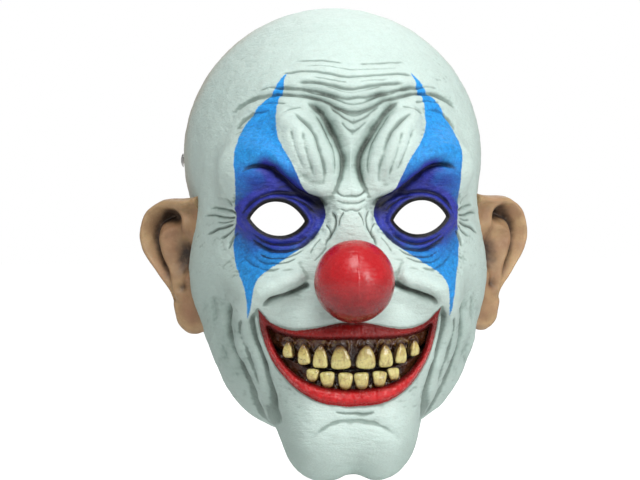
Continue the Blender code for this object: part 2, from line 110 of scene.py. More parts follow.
def ellipsoid(p, centre, radii, lean=0.0):
    """Nearly the distance from points to an ellipsoid, below zero inside it."""
    q = p - np.array(centre) * MM
    if lean:
        c, s = math.cos(math.radians(lean)), math.sin(math.radians(lean))
        q = np.stack([c * q[..., 0] + s * q[..., 2], q[..., 1], c * q[..., 2] - s * q[..., 0]], -1)
    r = np.array(radii) * MM
    scaled = np.linalg.norm(q / r, axis=-1)
    return scaled * (scaled - 1) / np.maximum(np.linalg.norm(q / r**2, axis=-1), 1e-9)


def blended(a, b, reach):
    """The lesser of two distances, with a round join this wide."""
    share = np.clip(0.5 + 0.5 * (b - a) / reach, 0, 1)
    return b + (a - b) * share - reach * share * (1 - share)


def with_pairs(near, p, lumps):
    for (x, y, z), radii, reach, lean in lumps:
        for side in (1, -1):
            near = blended(near, ellipsoid(p, (side * x, y, z), radii, side * lean), reach * MM)
    return near


def form(p):
    """Distance from points to the head form, below zero inside it."""
    near = None
    for centre, radii, reach in MIDLINE_LUMPS:
        lump = ellipsoid(p, centre, radii)
        near = lump if near is None else blended(near, lump, reach * MM)
    near = with_pairs(near, p, PAIRED_LUMPS)
    centre, radii, reach = SOCKET
    for side in (1, -1):
        near = -blended(-near, ellipsoid(p, (side * centre[0], *centre[1:]), radii), reach * MM)
    return with_pairs(near, p, SOFT_LUMPS)


def along_rays(start, directions):
    """How far along each ray the form's surface lies."""
    low, high = np.zeros(directions.shape[:-1]), np.full(directions.shape[:-1], LONGEST_RAY)
    for _ in range(HALVINGS):
        middle = (low + high) / 2
        inside = form(start + directions * middle[..., None]) < 0
        low, high = np.where(inside, middle, low), np.where(inside, high, middle)
    return low


def ray_directions(polar, around):
    return (np.cos(polar)[..., None] * RAY_AXIS + (np.sin(polar) * np.cos(around))[..., None] * RAY_RIGHT
            + (np.sin(polar) * np.sin(around))[..., None] * RAY_UP)


def form_points(polar, around):
    d = ray_directions(polar, around)
    return RAY_START + d * along_rays(RAY_START, d)[..., None]


def form_grid(polar, around, step=5):
    """form_points on a fine grid: found on every few rows and columns, then refined between them."""
    rows, columns = polar.shape
    some = np.unique([*range(0, rows, step), rows - 1])
    few = np.arange(0, columns, step)
    coarse = along_rays(RAY_START, ray_directions(polar[np.ix_(some, few)], around[np.ix_(some, few)]))
    across = np.array([np.interp(np.arange(columns), [*few, columns], [*row, row[0]]) for row in coarse])
    reach = np.array([np.interp(np.arange(rows), some, column) for column in across.T]).T
    d = ray_directions(polar, around)
    nudge = 0.2 * MM
    for _ in range(3):
        here = form(RAY_START + d * reach[..., None])
        slope = (form(RAY_START + d * (reach + nudge)[..., None]) - here) / nudge
        reach = reach - here / np.clip(slope, 0.25, 1.5)
    return RAY_START + d * reach[..., None]


def grid_normals(p):
    """Outward normals of a grid that is closed along its rows."""
    down = np.gradient(p, axis=0)
    along = np.roll(p, -1, 1) - np.roll(p, 1, 1)
    n = np.cross(along, down)
    n /= np.maximum(np.linalg.norm(n, axis=-1, keepdims=True), 1e-12)
    return n * np.sign(np.einsum("...i,...i", n, p - RAY_START))[..., None]


def form_normals(p):
    step = 0.3 * MM
    n = np.stack([form(p + d) - form(p - d) for d in np.eye(3) * step], -1)
    return n / np.maximum(np.linalg.norm(n, axis=-1, keepdims=True), 1e-12)


def front_points(x, z):
    """Points of the form's front at these x and z, in metres."""
    starts = np.stack([x, np.zeros_like(x), z], -1)
    ahead = np.broadcast_to(FORWARD, starts.shape)
    return starts + ahead * along_rays(starts, ahead)[..., None]


def smooth(low, high, value):
    t = np.clip((value - low) / (high - low), 0, 1)
    return t * t * (3 - 2 * t)


def bell(value, width):
    return np.exp(-((value / width) ** 2))


def spline(points, count=8):
    """A smooth line through the points."""
    p = np.array([2 * np.array(points[0]) - points[1], *points, 2 * np.array(points[-1]) - points[-2]], float)
    t = np.linspace(0, 1, count, endpoint=False)[:, None]
    out = []
    for a, b, c, d in zip(p, p[1:], p[2:], p[3:]):
        square, cube = 2 * a - 5 * b + 4 * c - d, 3 * b - a - 3 * c + d
        out.append(0.5 * (2 * b + (c - a) * t + square * t**2 + cube * t**3))
    return np.vstack([*out, p[-2][None]])


def to_line(x, z, line, reach, closed=False):
    """Distance from points to a line within reach, the share along it, and which side: +1 is on its left."""
    if closed:
        line = np.vstack([line, line[:1]])
    distance, share, side = np.full(x.shape, 1e3), np.zeros(x.shape), np.ones(x.shape)
    low, high = line.min(0) - reach, line.max(0) + reach
    near = np.nonzero((x > low[0]) & (x < high[0]) & (z > low[1]) & (z < high[1]))
    px, pz = x[near], z[near]
    best, along, left = np.full(px.shape, 1e3), np.zeros(px.shape), np.ones(px.shape)
    for i, (a, b) in enumerate(zip(line, line[1:])):
        ab = b - a
        t = np.clip(((px - a[0]) * ab[0] + (pz - a[1]) * ab[1]) / (ab @ ab + 1e-12), 0, 1)
        dx, dz = px - a[0] - t * ab[0], pz - a[1] - t * ab[1]
        d = np.hypot(dx, dz)
        closer = d < best
        best = np.where(closer, d, best)
        along = np.where(closer, (i + t) / (len(line) - 1), along)
        left = np.where(closer, np.sign(ab[0] * dz - ab[1] * dx + 1e-9), left)
    distance[near], share[near], side[near] = best, along, left
    return distance, share, side


def inside_distance(x, z, outline, reach=30):
    """Signed distance to a closed outline, positive inside."""
    distance, _, _ = to_line(x, z, outline, reach, closed=True)
    inside = np.zeros(x.shape, bool)
    for a, b in zip(outline, np.roll(outline, -1, 0)):
        crosses = (a[1] > z) != (b[1] > z)
        with np.errstate(divide="ignore", invalid="ignore"):
            inside ^= crosses & (x < (b[0] - a[0]) * (z - a[1]) / (b[1] - a[1]) + a[0])
    return np.where(inside, distance, -distance)


def spot(x, z, centre, radii):
    """1 in the middle of a soft round spot, falling to 0 around it."""
    return np.exp(-(((x - centre[0]) / radii[0]) ** 2) - ((z - centre[1]) / radii[1]) ** 2)


def over(under, colour, share):
    """One colour laid over another by a share for each point."""
    return under + (colour - under) * share[..., None]


def grain(p, size, seed=0.0, stretch=(1, 1, 1)):
    """Smooth noise in -1 to 1 with features of about this size in metres."""
    flat = p.reshape(-1, 3) / size * np.array(stretch) + seed
    return np.array([noise.noise(Vector(q)) for q in flat]).reshape(p.shape[:-1])


# ---------------------------------------------------------------- meshes

def add_mesh(name, points, faces, smooth_shade=True):
    mesh = bpy.data.meshes.new(name)
    mesh.from_pydata([tuple(p) for p in points], [], faces)
    if smooth_shade:
        mesh.shade_smooth()
    obj = bpy.data.objects.new(name, mesh)
    bpy.context.scene.collection.objects.link(obj)
    return obj


def grid_faces(rows, columns, closed=False, flip=False):
    i, j = np.meshgrid(np.arange(rows - 1), np.arange(columns if closed else columns - 1), indexing="ij")
    k = (j + 1) % columns
    faces = np.stack([i * columns + j, (i + 1) * columns + j, (i + 1) * columns + k, i * columns + k], -1)
    faces = faces.reshape(-1, 4)
    return faces[:, ::-1] if flip else faces


def ring_mesh(name, rings, flip=False):
    """A closed skin over a stack of rings, with both ends capped."""
    rows, columns = rings.shape[:2]
    faces = grid_faces(rows, columns, True, flip).tolist()
    first, last = list(range(columns)), list(range((rows - 1) * columns, rows * columns))
    faces += [first[::-1], last] if flip else [first, last[::-1]]
    return add_mesh(name, rings.reshape(-1, 3), faces)


def colour_attribute(obj, name, colours):
    layer = obj.data.attributes.new(name, "FLOAT_COLOR", "POINT")
    rgba = np.ones((len(obj.data.vertices), 4))
    rgba[:, :3] = colours
    layer.data.foreach_set("color", rgba.ravel())


def number_attribute(obj, name, values):
    layer = obj.data.attributes.new(name, "FLOAT", "POINT")
    layer.data.foreach_set("value", np.asarray(values, float).ravel())


def linear(*rgb):
    """Scene colour from a paint swatch of 0 to 255 per channel."""
    c = np.array(rgb) / 255
    return np.where(c < 0.04045, c / 12.92, ((c + 0.055) / 1.055) ** 2.4)


# ---------------------------------------------------------------- materials

class Nodes:
    """A short way to build one material's node tree."""

    def __init__(self, name):
        self.material = bpy.data.materials.new(name)
        self.material.use_nodes = True
        self.tree = self.material.node_tree
        self.shader = self.tree.nodes["Principled BSDF"]
        self.where = self.add("ShaderNodeTexCoord").outputs["Object"]

    def add(self, kind, settings=(), **inputs):
        node = self.tree.nodes.new(kind)
        for key, value in dict(settings).items():
            setattr(node, key, value)
        for key, value in inputs.items():
            self.put(node, key, value)
        return node

    def put(self, node, key, value):
        socket = node.inputs[int(key[1:]) if key[0] == "_" and key[1:].isdigit() else key]
        if isinstance(value, bpy.types.NodeSocket):
            self.tree.links.new(value, socket)
        else:
            socket.default_value = value

    def attribute(self, name, output="Color"):
        return self.add("ShaderNodeAttribute", {"attribute_name": name}).outputs[output]

    def stretched(self, scale):
        if not scale:
            return self.where
        return self.add("ShaderNodeMapping", Vector=self.where, Scale=scale).outputs[0]

    def noise(self, scale, detail=3.0, rough=0.55, stretch=None):
        at = self.stretched(stretch)
        made = self.add("ShaderNodeTexNoise", Vector=at, Scale=scale, Detail=detail, Roughness=rough)
        return made.outputs["Fac"]

    def cells(self, scale, stretch=None):
        at = self.stretched(stretch)
        edges = {"feature": "DISTANCE_TO_EDGE"}
        return self.add("ShaderNodeTexVoronoi", edges, Vector=at, Scale=scale).outputs["Distance"]

    def math(self, operation, a, b=0.0):
        return self.add("ShaderNodeMath", {"operation": operation}, _0=a, _1=b).outputs[0]

    def ramp(self, value, low, high, out_low=0.0, out_high=1.0):
        made = self.add("ShaderNodeMapRange", {"interpolation_type": "SMOOTHSTEP"}, Value=value)
        for key, number in (("From Min", low), ("From Max", high), ("To Min", out_low), ("To Max", out_high)):
            made.inputs[key].default_value = number
        return made.outputs[0]

    def mix(self, share, a, b, blend="MIX"):
        made = self.add("ShaderNodeMix", {"data_type": "RGBA", "blend_type": blend})
        for socket, value in ((0, share), (6, a), (7, b)):
            if isinstance(value, bpy.types.NodeSocket):
                self.tree.links.new(value, made.inputs[socket])
            else:
                made.inputs[socket].default_value = value if socket == 0 else (*value[:3], 1)
        return made.outputs[2]

    def bump(self, height, distance, strength=1.0, after=None):
        made = self.add("ShaderNodeBump", Height=height, Distance=distance, Strength=strength)
        if after:
            self.put(made, "Normal", after)
        return made.outputs[0]

    def set(self, **inputs):
        for key, value in inputs.items():
            self.put(self.shader, key.replace("_", " "), value)
        return self.material


# ---------------------------------------------------------------- sculpting lines, in |x| and z, in mm

BROW_CREASE = [(13.5, 6.2), (19, 10.4), (26, 13.4), (33.5, 17.4), (41, 23), (48, 28.6), (55, 31.4),
               (62, 30.4), (68, 25)]
LID_FOLD = [(17, 5.2), (24.5, 10.6), (33.5, 14.4), (44, 15.8), (54, 13.0), (61.5, 7.0), (66, -1)]

# Each crease: half-width, depth, how dark its line and its soft shade are, which side bulges (+1 left of the
# line, -1 right, 0 both), and its points.
CREASES = [
    # forehead
    (2.6, 2.3, 0.40, 0.40, 0,
     [(0, 61.8), (10, 64.5), (20, 70.3), (31.5, 74.5), (45, 76.4), (60, 73), (74, 64.5)]),
    (2.5, 2.0, 0.34, 0.34, 0, [(0, 71.2), (11, 72.2), (24, 76.8), (38, 80.2), (50, 79.5)]),
    (2.2, 1.6, 0.27, 0.30, 0, [(0, 78.0), (12, 79.8), (24, 82.0), (36, 82.6)]),
    (1.7, 1.0, 0.24, 0.22, 0, [(0, 66.8), (8, 68.6), (15, 72.4), (24, 75.6)]),
    (1.7, 1.2, 0.32, 0.28, 0, [(0, 56.4), (5, 58.2), (10, 61.6), (16, 66.4)]),
    (1.5, 0.9, 0.24, 0.22, 0, [(0, 51.8), (4, 53.6), (8, 57.0)]),
    (1.5, 0.9, 0.17, 0.12, 0, [(0, 85.8), (14, 87.2), (30, 88.6), (44, 86.4)]),
    (1.2, 0.45, 0.12, 0.08, 0, [(3, 93.8), (20, 95.4), (36, 95.2)]),
    (1.5, 0.9, 0.22, 0.22, 0, [(48, 66), (57, 64.6), (64, 60), (69, 53.5)]),
    (1.2, 0.6, 0.18, 0.14, 0, [(38, 69.5), (48, 71), (59, 68.5)]),
    (1.1, 0.5, 0.16, 0.10, 0, [(30, 66), (38, 65.4), (45, 62.5)]),
    (0.9, 0.5, 0.20, 0.08, 0, [(0, 75.0), (9, 76.4), (19, 79.6)]),
    (0.9, 0.5, 0.20, 0.08, 0, [(5, 69.2), (13, 71.0), (22, 74.4), (30, 77.6)]),
    (0.8, 0.4, 0.18, 0.08, 0, [(2, 82.2), (13, 83.4), (26, 85.0)]),
    (0.8, 0.4, 0.16, 0.06, 0, [(40, 79.6), (48, 80.2), (57, 77.8)]),
    (0.8, 0.4, 0.14, 0.06, 0, [(0, 60.0), (6, 61.8), (13, 66.0)]),
    (0.8, 0.4, 0.12, 0.06, 0, [(0, 90.2), (16, 91.6), (32, 92.0)]),
    # between the brows
    (3.2, 3.8, 0.60, 0.90, -1,
     [(30, 71.6), (21.5, 64.5), (13.4, 53.5), (6.8, 42), (4.4, 31), (6.8, 20), (12.3, 10)]),
    (2.2, 1.9, 0.24, 0.36, 0, [(38, 65), (27, 53), (21.5, 43.5), (17, 31), (15.6, 18)]),
    (2.0, 1.2, 0.12, 0.22, 0, [(32, 52), (28.2, 43), (24.4, 33), (21, 22)]),
    (1.5, 0.8, 0.18, 0.20, 0, [(24.5, 63.5), (17.5, 53.5), (12, 43), (10.2, 32), (11, 22)]),
    (1.6, 0.7, 0.05, 0.12, 0, [(38, 54), (34.4, 45), (30.5, 36), (26.5, 27.5)]),
    # brow crease over the lid, lid folds, and the pouches under the eye
    (3.0, 5.0, 1.30, 1.00, 1, BROW_CREASE),
    (1.7, 2.0, 1.00, 0.60, 1, LID_FOLD),
    (1.2, 1.1, 0.70, 0.40, 1, [(20, 1.5), (26, 7.6), (34, 11.6), (44, 12.8), (53, 10.4), (60, 4.6)]),
    (1.7, 1.9, 0.85, 0.50, -1, [(18.5, -5.5), (25, -13.5), (34, -18.6), (45, -20), (54.5, -16), (62, -8.5)]),
    (1.2, 1.0, 0.60, 0.30, 0, [(24, -9.5), (32, -14.6), (43, -16.4), (53, -13.2), (60, -7.4)]),
    (1.3, 1.0, 0.45, 0.25, 0, [(27, -18.5), (37, -23.5), (48, -24.5), (57, -19.5)]),
    (1.1, 0.7, 0.32, 0.18, 0, [(31, -23.5), (40, -27), (50, -27.5), (58, -23)]),
    (1.0, 0.6, 0.26, 0.14, 0, [(42, -31), (50, -31.5), (58, -28), (64, -22)]),
    # crow's feet
    (1.0, 1.2, 0.55, 0.26, 0, [(67.8, 2.4), (71.5, 5.2), (77.5, 7.0), (82, 6.6)]),
    (1.0, 1.2, 0.70, 0.30, 0, [(68.2, 0.6), (73, 0.8), (79.5, 2.6), (86, 1.6)]),
    (0.9, 0.9, 0.50, 0.20, 0, [(69, -0.9), (73.5, -2.4), (78, -2.0)]),
    (1.1, 1.3, 0.70, 0.30, 0, [(68.4, -2.6), (73.5, -5.4), (78.5, -6.6), (84.5, -10.5)]),
    (0.9, 0.8, 0.42, 0.20, 0, [(68, -4.6), (71.5, -9.2), (77, -12.6)]),
    (1.0, 0.9, 0.42, 0.22, 0, [(66.6, -7.2), (70, -13.5), (71.5, -19.5)]),
    (0.8, 0.5, 0.20, 0.12, 0, [(69.4, 6.6), (73, 11.5), (78.5, 14.0)]),
    # bridge of the nose
    (1.0, 1.0, 0.62, 0.30, 0, [(11.6, 5), (9.5, -1), (10.6, -7), (14.4, -13), (15.5, -18)]),
    (0.8, 0.7, 0.52, 0.22, 0, [(15.5, -3), (12.8, -8), (13.5, -14)]),
    (0.8, 0.6, 0.42, 0.20, 0, [(4, 4), (6.8, -0.5), (8, -6.5)]),
    (0.9, 0.8, 0.46, 0.22, 0, [(0, 12.4), (5, 13.2), (9.5, 16.4)]),
    (0.8, 0.6, 0.40, 0.18, 0, [(0, 8.6), (4, 8.8), (8.5, 10.6)]),
    (0.7, 0.4, 0.30, 0.14, 0, [(0, 4.6), (3.4, 4.2), (6.5, 5.8)]),
    (0.8, 0.5, 0.38, 0.16, 0, [(17.5, -12), (21.5, -16.5), (25, -22)]),
    (0.7, 0.4, 0.30, 0.12, 0, [(14.5, -17), (18.5, -22), (23, -26.5)]),
    # under the cheek roll, round the mouth's corner and down to the jaw
    (3.0, 4.8, 1.10, 1.00, 1, [(24, -38.5), (29, -41), (35, -43.8), (42, -46.4), (49, -49.4), (55, -53.6)]),
    (2.4, 2.8, 0.32, 0.55, 1,
     [(55, -53.6), (58.6, -61), (57.5, -72), (54, -84), (50.5, -95), (47.5, -106), (44.8, -120), (40, -134)]),
    (3.2, 2.8, 0.22, 0.55, 1,
     [(73, -45), (73.5, -58), (70.5, -74), (65.5, -90), (59, -105), (52, -119), (46, -129)]),
    (3.0, 1.7, 0.08, 0.32, 0, [(64, -57), (64.5, -68), (61.5, -81), (57, -94), (52.5, -106)]),
    (3.8, 1.3, 0.05, 0.24, 1, [(84, -44), (81, -58), (77, -74), (70.5, -90), (63, -104)]),
    # chin
    (3.2, 1.0, 0.02, 0.10, -1, [(0, -121.4), (8, -122.2), (16, -125), (24, -130.5), (30, -137)]),
    (1.2, 0.7, 0.22, 0.16, 0, [(0, -117.4), (6, -117.6), (13, -116.6)]),
]

# Broad swellings (+) and hollows (-): where, how wide each way, lean in degrees and height.
SWELLINGS = [
    ((23, 42), (10, 24), -32, 3.0),
    ((47, 42), (17, 8), 10, 2.0),
    ((30, 21), (11, 5), 35, 2.0),
    ((43, 20), (13, 6), 0, -2.2),
    ((19, 3), (5, 7), 0, -1.8),
    ((42, -41), (20, 8), -22, 2.6),
    ((30, -60), (18, 8), 0, 1.6),
    ((76, -50), (8, 13), 20, -3.0),
    ((65, -74), (4.5, 22), 14, 2.4),
    ((79, -76), (6, 22), 16, 2.2),
    ((0, -141), (17, 14), 0, 1.4),
    ((44, -8), (14, 3.6), 0, 1.0),
    ((66, -30), (10, 16), 20, 0.8),
    ((82, 36), (7, 22), 6, 2.4),
    ((73, -38), (5, 9), 20, 1.2),
    ((0, 48), (5, 12), 0, -1.0),
    ((0, 69), (26, 3.2), 0, 0.9),
    ((0, 75), (30, 2.6), 0, 0.8),
]

# Outlines of the paint and of the mouth's opening. TOP runs outwards from the middle, BOTTOM back to it.
BLUE_OUTER = [(38, 89), (44, 82), (50.5, 74), (57, 66), (62.5, 58), (66, 51), (68.4, 43), (69.2, 35),
              (69, 24), (68.4, 14), (67.6, 0), (68.4, -9), (68.8, -18), (67.6, -27), (65.4, -36), (63, -47),
              (60.8, -59.5)]
BLUE_INNER = [(60.8, -59.5), (59.6, -50), (56.4, -38), (51.5, -32.4), (45.5, -28.8), (38, -23.8), (31, -18.8),
              (24, -12.8), (18.5, -7), (15.5, 0), (15.6, 6), (19.5, 10.5), (24, 15), (30, 25.4), (35.8, 36),
              (41, 44), (44.3, 51), (46, 59.5), (44.6, 69), (41.6, 79), (38, 89)]
LIP_TOP = [(0, -63.2), (6, -63.0), (13, -64.2), (24, -66.6), (34, -67.6), (43, -65.6), (50, -61.4),
           (56, -55.2)]
LIP_BOTTOM = [(56, -55.2), (54.6, -64), (52, -74.5), (48.4, -84), (43.4, -92.5), (36, -101), (26.5, -107.8),
              (15.5, -112), (0, -113.4)]
OPENING_TOP = [(0, -73.4), (14, -73.6), (27, -73.2), (38, -71.6), (45, -69.4), (49.4, -66.4)]
OPENING_BOTTOM = [(49.4, -66.4), (47.6, -73.5), (44.6, -81), (39.2, -89), (31, -96.2), (19, -101), (0, -103)]
EYE_MIDDLE, EYE_HALF_WIDTH, EYE_ABOVE, EYE_BELOW = (43.4, -0.8), 16.4, 10.9, 9.6


def eye_line():
    """The eye opening, with its outer corner a little higher."""
    t = np.linspace(0, 2 * math.pi, 72, endpoint=False)
    u, up = np.cos(t), np.sin(t) > 0
    rise = (1 - np.abs(u) ** 2.2) ** 0.85
    z = np.where(up, EYE_ABOVE, -EYE_BELOW) * rise + u + EYE_MIDDLE[1]
    return np.stack([EYE_MIDDLE[0] + EYE_HALF_WIDTH * u, z], -1)


def mirrored(half):
    """A line from the middle outwards, continued to the other side."""
    half = np.array(half)
    return np.vstack([half[::-1] * (-1, 1), half[1:]])


def mouth_line(top, bottom):
    return np.vstack([spline(mirrored(top), 6)[:-1], spline(mirrored(bottom[::-1]), 6)[::-1][:-1]])


EYE = eye_line()
BLUE = np.vstack([spline(BLUE_OUTER, 5)[:-1], spline(BLUE_INNER, 5)[:-1]])
OPENING, LIPS = mouth_line(OPENING_TOP, OPENING_BOTTOM), mouth_line(LIP_TOP, LIP_BOTTOM)


def drift(z):
    """The forehead's folds and paint lean a little to the wearer's left, in mm."""
    return 3.4 * smooth(30, 75, z)


def sculpt(p, n):
    """How far the surface stands off the form, in mm, and how dark the grey wash and painted shade in its
    creases lie, at points p.
    """
    raw_x, z = p[..., 0] / MM, p[..., 2] / MM
    sway, fine = grain(p, 24 * MM, 3.0), grain(p, 7 * MM, 21.0)
    uneven = smooth(20, 50, z) * 1.6
    x = np.abs(raw_x - drift(z) + uneven * grain(p, 34 * MM, 27.0)) + 0.9 * sway + 0.28 * fine
    z = z + (0.9 + uneven) * grain(p, 26 * MM, 8.0) + 0.3 * grain(p, 6 * MM, 31.0)
    broken = grain(p, 15 * MM, 41.0, (1, 1, 1.6))
    facing = smooth(0.02, 0.35, -n[..., 1])
    height, wash_and_shade = np.zeros(x.shape), np.zeros(x.shape)
    for (cx, cz), (rx, rz), lean, rise in SWELLINGS:
        c, s = math.cos(math.radians(lean)), math.sin(math.radians(lean))
        u, v = (x - cx) * c + (z - cz) * s, (z - cz) * c - (x - cx) * s
        height += rise * spot(u, v, (0, 0), (rx, rz))
    for half, depth, line_shade, soft_shade, side_up, points in CREASES:
        crosses = points[0][0] == 0
        line = spline(mirrored(points)) if crosses else spline(points)
        d, t, side = to_line(x, z, line, half * 6)
        t = np.abs(2 * t - 1) if crosses else t
        ends = 1.0 if crosses else smooth(0, 0.16, t)
        ends = ends * smooth(1, 0.76, t) * (1 + 0.30 * fine + 0.25 * sway + 0.45 * broken)
        bulge = bell(d - 2.3 * half, 1.6 * half)
        if side_up:
            bulge = bulge * np.where(side == side_up, 1.25, 0.15)
        valley = 0.5 * bell(d, 0.50 * half) + 0.6 * bell(d, 1.15 * half)
        height += ends * depth * (0.42 * bulge - valley)
        wash_and_shade += ends * (line_shade * bell(d, 0.5 * half) + soft_shade * 0.42 * bell(d, half * 2.4))
    return height * facing, wash_and_shade * facing


def lip_shape(z, edge, hole):
    """The lips' rise in mm from distances to their edge and to the opening, and the roll into the mouth."""
    width = np.maximum(edge - hole, 0.5)
    across = np.clip(edge / width, 0, 1)
    lower = smooth(-72, -84, z)
    rise = np.where(edge > 0, np.sin(math.pi * across) ** 0.6, 0) * (1.7 + 2.3 * lower)
    rise = rise * smooth(0, 2.2, np.where(edge > 0, edge, 0)) + 0.5 * bell(edge + 0.6, 1.2) * lower
    roll = -2.4 * bell(np.maximum(-hole, 0), 1.6)
    return rise + np.where(edge > 0, roll, 0) - 0.7 * bell(edge, 1.1)


# ---------------------------------------------------------------- the skin

def skin_grid(rows, columns):
    """Points of the form in rings round the nose, closest together over the face and the forehead."""
    around = np.arange(columns) * 2 * math.pi / columns
    around = around + 0.33 * np.cos(around)
    turn = np.degrees(np.arcsin(np.sin(around)))
    outer = np.radians(np.interp(turn, RIM_TURN, RIM_ANGLE))
    for _ in range(columns // 20):
        outer = (np.roll(outer, 1) + outer + np.roll(outer, -1)) / 3
    under_ball, widest = 0.8 * MM, math.radians(30)
    low, high = np.zeros(columns), np.full(columns, widest)
    for _ in range(20):
        middle = (low + high) / 2
        inside = np.linalg.norm(form_points(middle, around) - NOSE, axis=-1) < NOSE_RADIUS - under_ball
        low, high = np.where(inside, middle, low), np.where(inside, high, middle)
    behind_face = smooth(0.72, 0.95, np.linspace(0, 1, rows))
    spacing = 1 + 2.2 * behind_face
    share = (np.cumsum(spacing) - spacing[0])[:, None]
    share /= share[-1]
    polar = high + (outer - high) * share
    return form_grid(polar, np.broadcast_to(around, polar.shape))


def neighbours(p, k):
    """The mean of the points k steps away along both directions of a closed grid."""
    up = np.concatenate([p[k:], np.repeat(p[-1:], k, 0)])
    down = np.concatenate([np.repeat(p[:1], k, 0), p[:-k]])
    return (up + down + np.roll(p, k, 1) + np.roll(p, -k, 1)) / 4


def paint(p, n, x, z, wash_and_shade, lips, hole, eye):
    """The airbrushed colours of the skin: face, eye patches and lips, each over the whole surface, with
    painted shade in the creases and hollows, on the sides and at the inner eye corners, and painted glints on
    the lower lip.
    """
    soft, medium, fine = grain(p, 18 * MM, 2.0), grain(p, 6 * MM, 7.0), grain(p, 2.4 * MM, 5.0)
    pale, grey, dark = linear(207, 226, 219), linear(130, 152, 143), linear(46, 52, 43)
    flesh, pink = linear(190, 168, 140), linear(196, 158, 146)
    mottle = np.clip(0.5 + 0.4 * soft + 0.25 * medium, 0, 1)[..., None]
    face = pale * (0.92 + 0.12 * mottle) * (1 + 0.05 * smooth(60, 110, z)[..., None])
    # Grey airbrush, partly painted shade: sides turned from the front are darker, most of all lower down, as
    # are the outer lower cheeks and under the chin. The wearer's left, the lit side, gets a third less. The
    # frown between the brows and random patches get grey too.
    turned = smooth(0.30, 0.92, np.abs(n[..., 0]))
    airbrush_and_shade = turned * (0.08 + 0.30 * smooth(20, -60, z)) + 0.10 * smooth(-25, -70, z) * smooth(50, 74, x)
    frown = smooth(34, 20, x) * smooth(88, 70, z) * smooth(12, 34, z)
    airbrush_and_shade = airbrush_and_shade * (1 - 0.35 * smooth(0, 0.04, p[..., 0])) + 0.22 * frown
    airbrush_and_shade = airbrush_and_shade + 0.12 * smooth(-120, -150, z) + 0.10 * np.clip(soft, 0, 1)
    face = over(face, grey, np.clip(airbrush_and_shade, 0, 0.85))
    # Grey wash and painted shade in the creases and hollows, near black in the deepest.
    w = np.clip(wash_and_shade + 0.05 * fine, 0, 2)
    face = over(face, grey, 0.78 * smooth(0.02, 0.80, w))
    face = over(face, dark, 0.86 * smooth(0.42, 1.9, w))
    behind = smooth(-8, 40, p[..., 1] / MM) * smooth(0.2, 0.7, np.abs(n[..., 0]) + 0.4 * np.abs(n[..., 1]))
    behind = behind * (0.75 + 0.35 * soft)
    face = over(face, flesh, np.clip(0.75 * behind, 0, 0.9))
    face = over(face, pink, np.clip(0.5 * behind * (0.3 + medium), 0, 0.6))

    azure, royal = linear(30, 138, 212), linear(24, 62, 158)
    violet, ink_and_shade = linear(38, 48, 150), linear(8, 9, 14)
    brow, _, _ = to_line(x, z, spline(BROW_CREASE), 26)
    fold, _, _ = to_line(x, z, spline(LID_FOLD), 22)
    level = smooth(38, 22, z) * smooth(-34, -4, z)
    near_eye = smooth(17, 4, -eye)
    by_brow = bell(np.maximum(brow - 1.4, 0), 5.0) * smooth(66, 48, x)
    deep = 0.95 * by_brow + 0.8 * bell(fold, 3.6) + 0.8 * near_eye
    deep = np.clip(deep + 0.16 * soft + 0.14 * medium + 0.10 * fine, 0, 1)
    mid = np.clip(level * smooth(82, 56, x) * 0.92 + 0.40 * smooth(36, 5, x) + 0.22 * medium, 0, 1)
    pebbles = grain(p, 1.7 * MM, 21.0)
    patch = azure * (1 + 0.20 * fine + 0.22 * pebbles + 0.14 * medium + 0.22 * smooth(30, 60, z))[..., None]
    patch = over(over(patch, royal, mid), violet, smooth(0.20, 0.85, deep))
    patch = patch * (1 + 0.35 * np.clip(medium + 0.6 * fine, -0.6, 1) * smooth(0.3, 0.8, deep))[..., None]
    # corner: a painted shadow at the inner corner of each eye, beside the nose.
    corner = bell(np.hypot((x - 18.5) / 1.9, z - 7.0), 4.6)
    rim = smooth(3.3, 1.5, -eye + 0.25 * medium)
    # Near black over the patch: painted shade in its creases, the painted shadow at the inner eye corner, and
    # the eye's black painted rim. On the face it gives the rim and the corner's shadow.
    for share in (0.80 * smooth(0.30, 1.5, wash_and_shade), np.clip(corner * 0.95, 0, 1), rim):
        patch = over(patch, ink_and_shade, share)
    face = over(face, ink_and_shade, np.maximum(rim, 0.5 * np.clip(corner - 0.2, 0, 1)))

    lower_lip = smooth(-68, -80, z)
    lip = over(linear(134, 16, 14), linear(196, 24, 28), lower_lip)
    lip = lip * (1 + 0.20 * fine + 0.16 * medium)[..., None]
    # Painted glints: small pale pink highlights along the lower lip's crest.
    painted_glints = smooth(0.15, 0.6, grain(p, 1.5 * MM, 24.0, (0.6, 1, 1.4))) * bell(-hole - 3.8, 3.0)
    lip = over(lip, linear(240, 126, 124), 0.42 * painted_glints * lower_lip)
    lip = over(lip, linear(40, 10, 8), 0.85 * smooth(3.6, 0.3, -hole))
    lip = over(lip, linear(104, 14, 16), 0.5 * smooth(1.8, 0.0, lips))
    return np.clip(face, 0, 1), np.clip(patch, 0, 1), np.clip(lip, 0, 1)


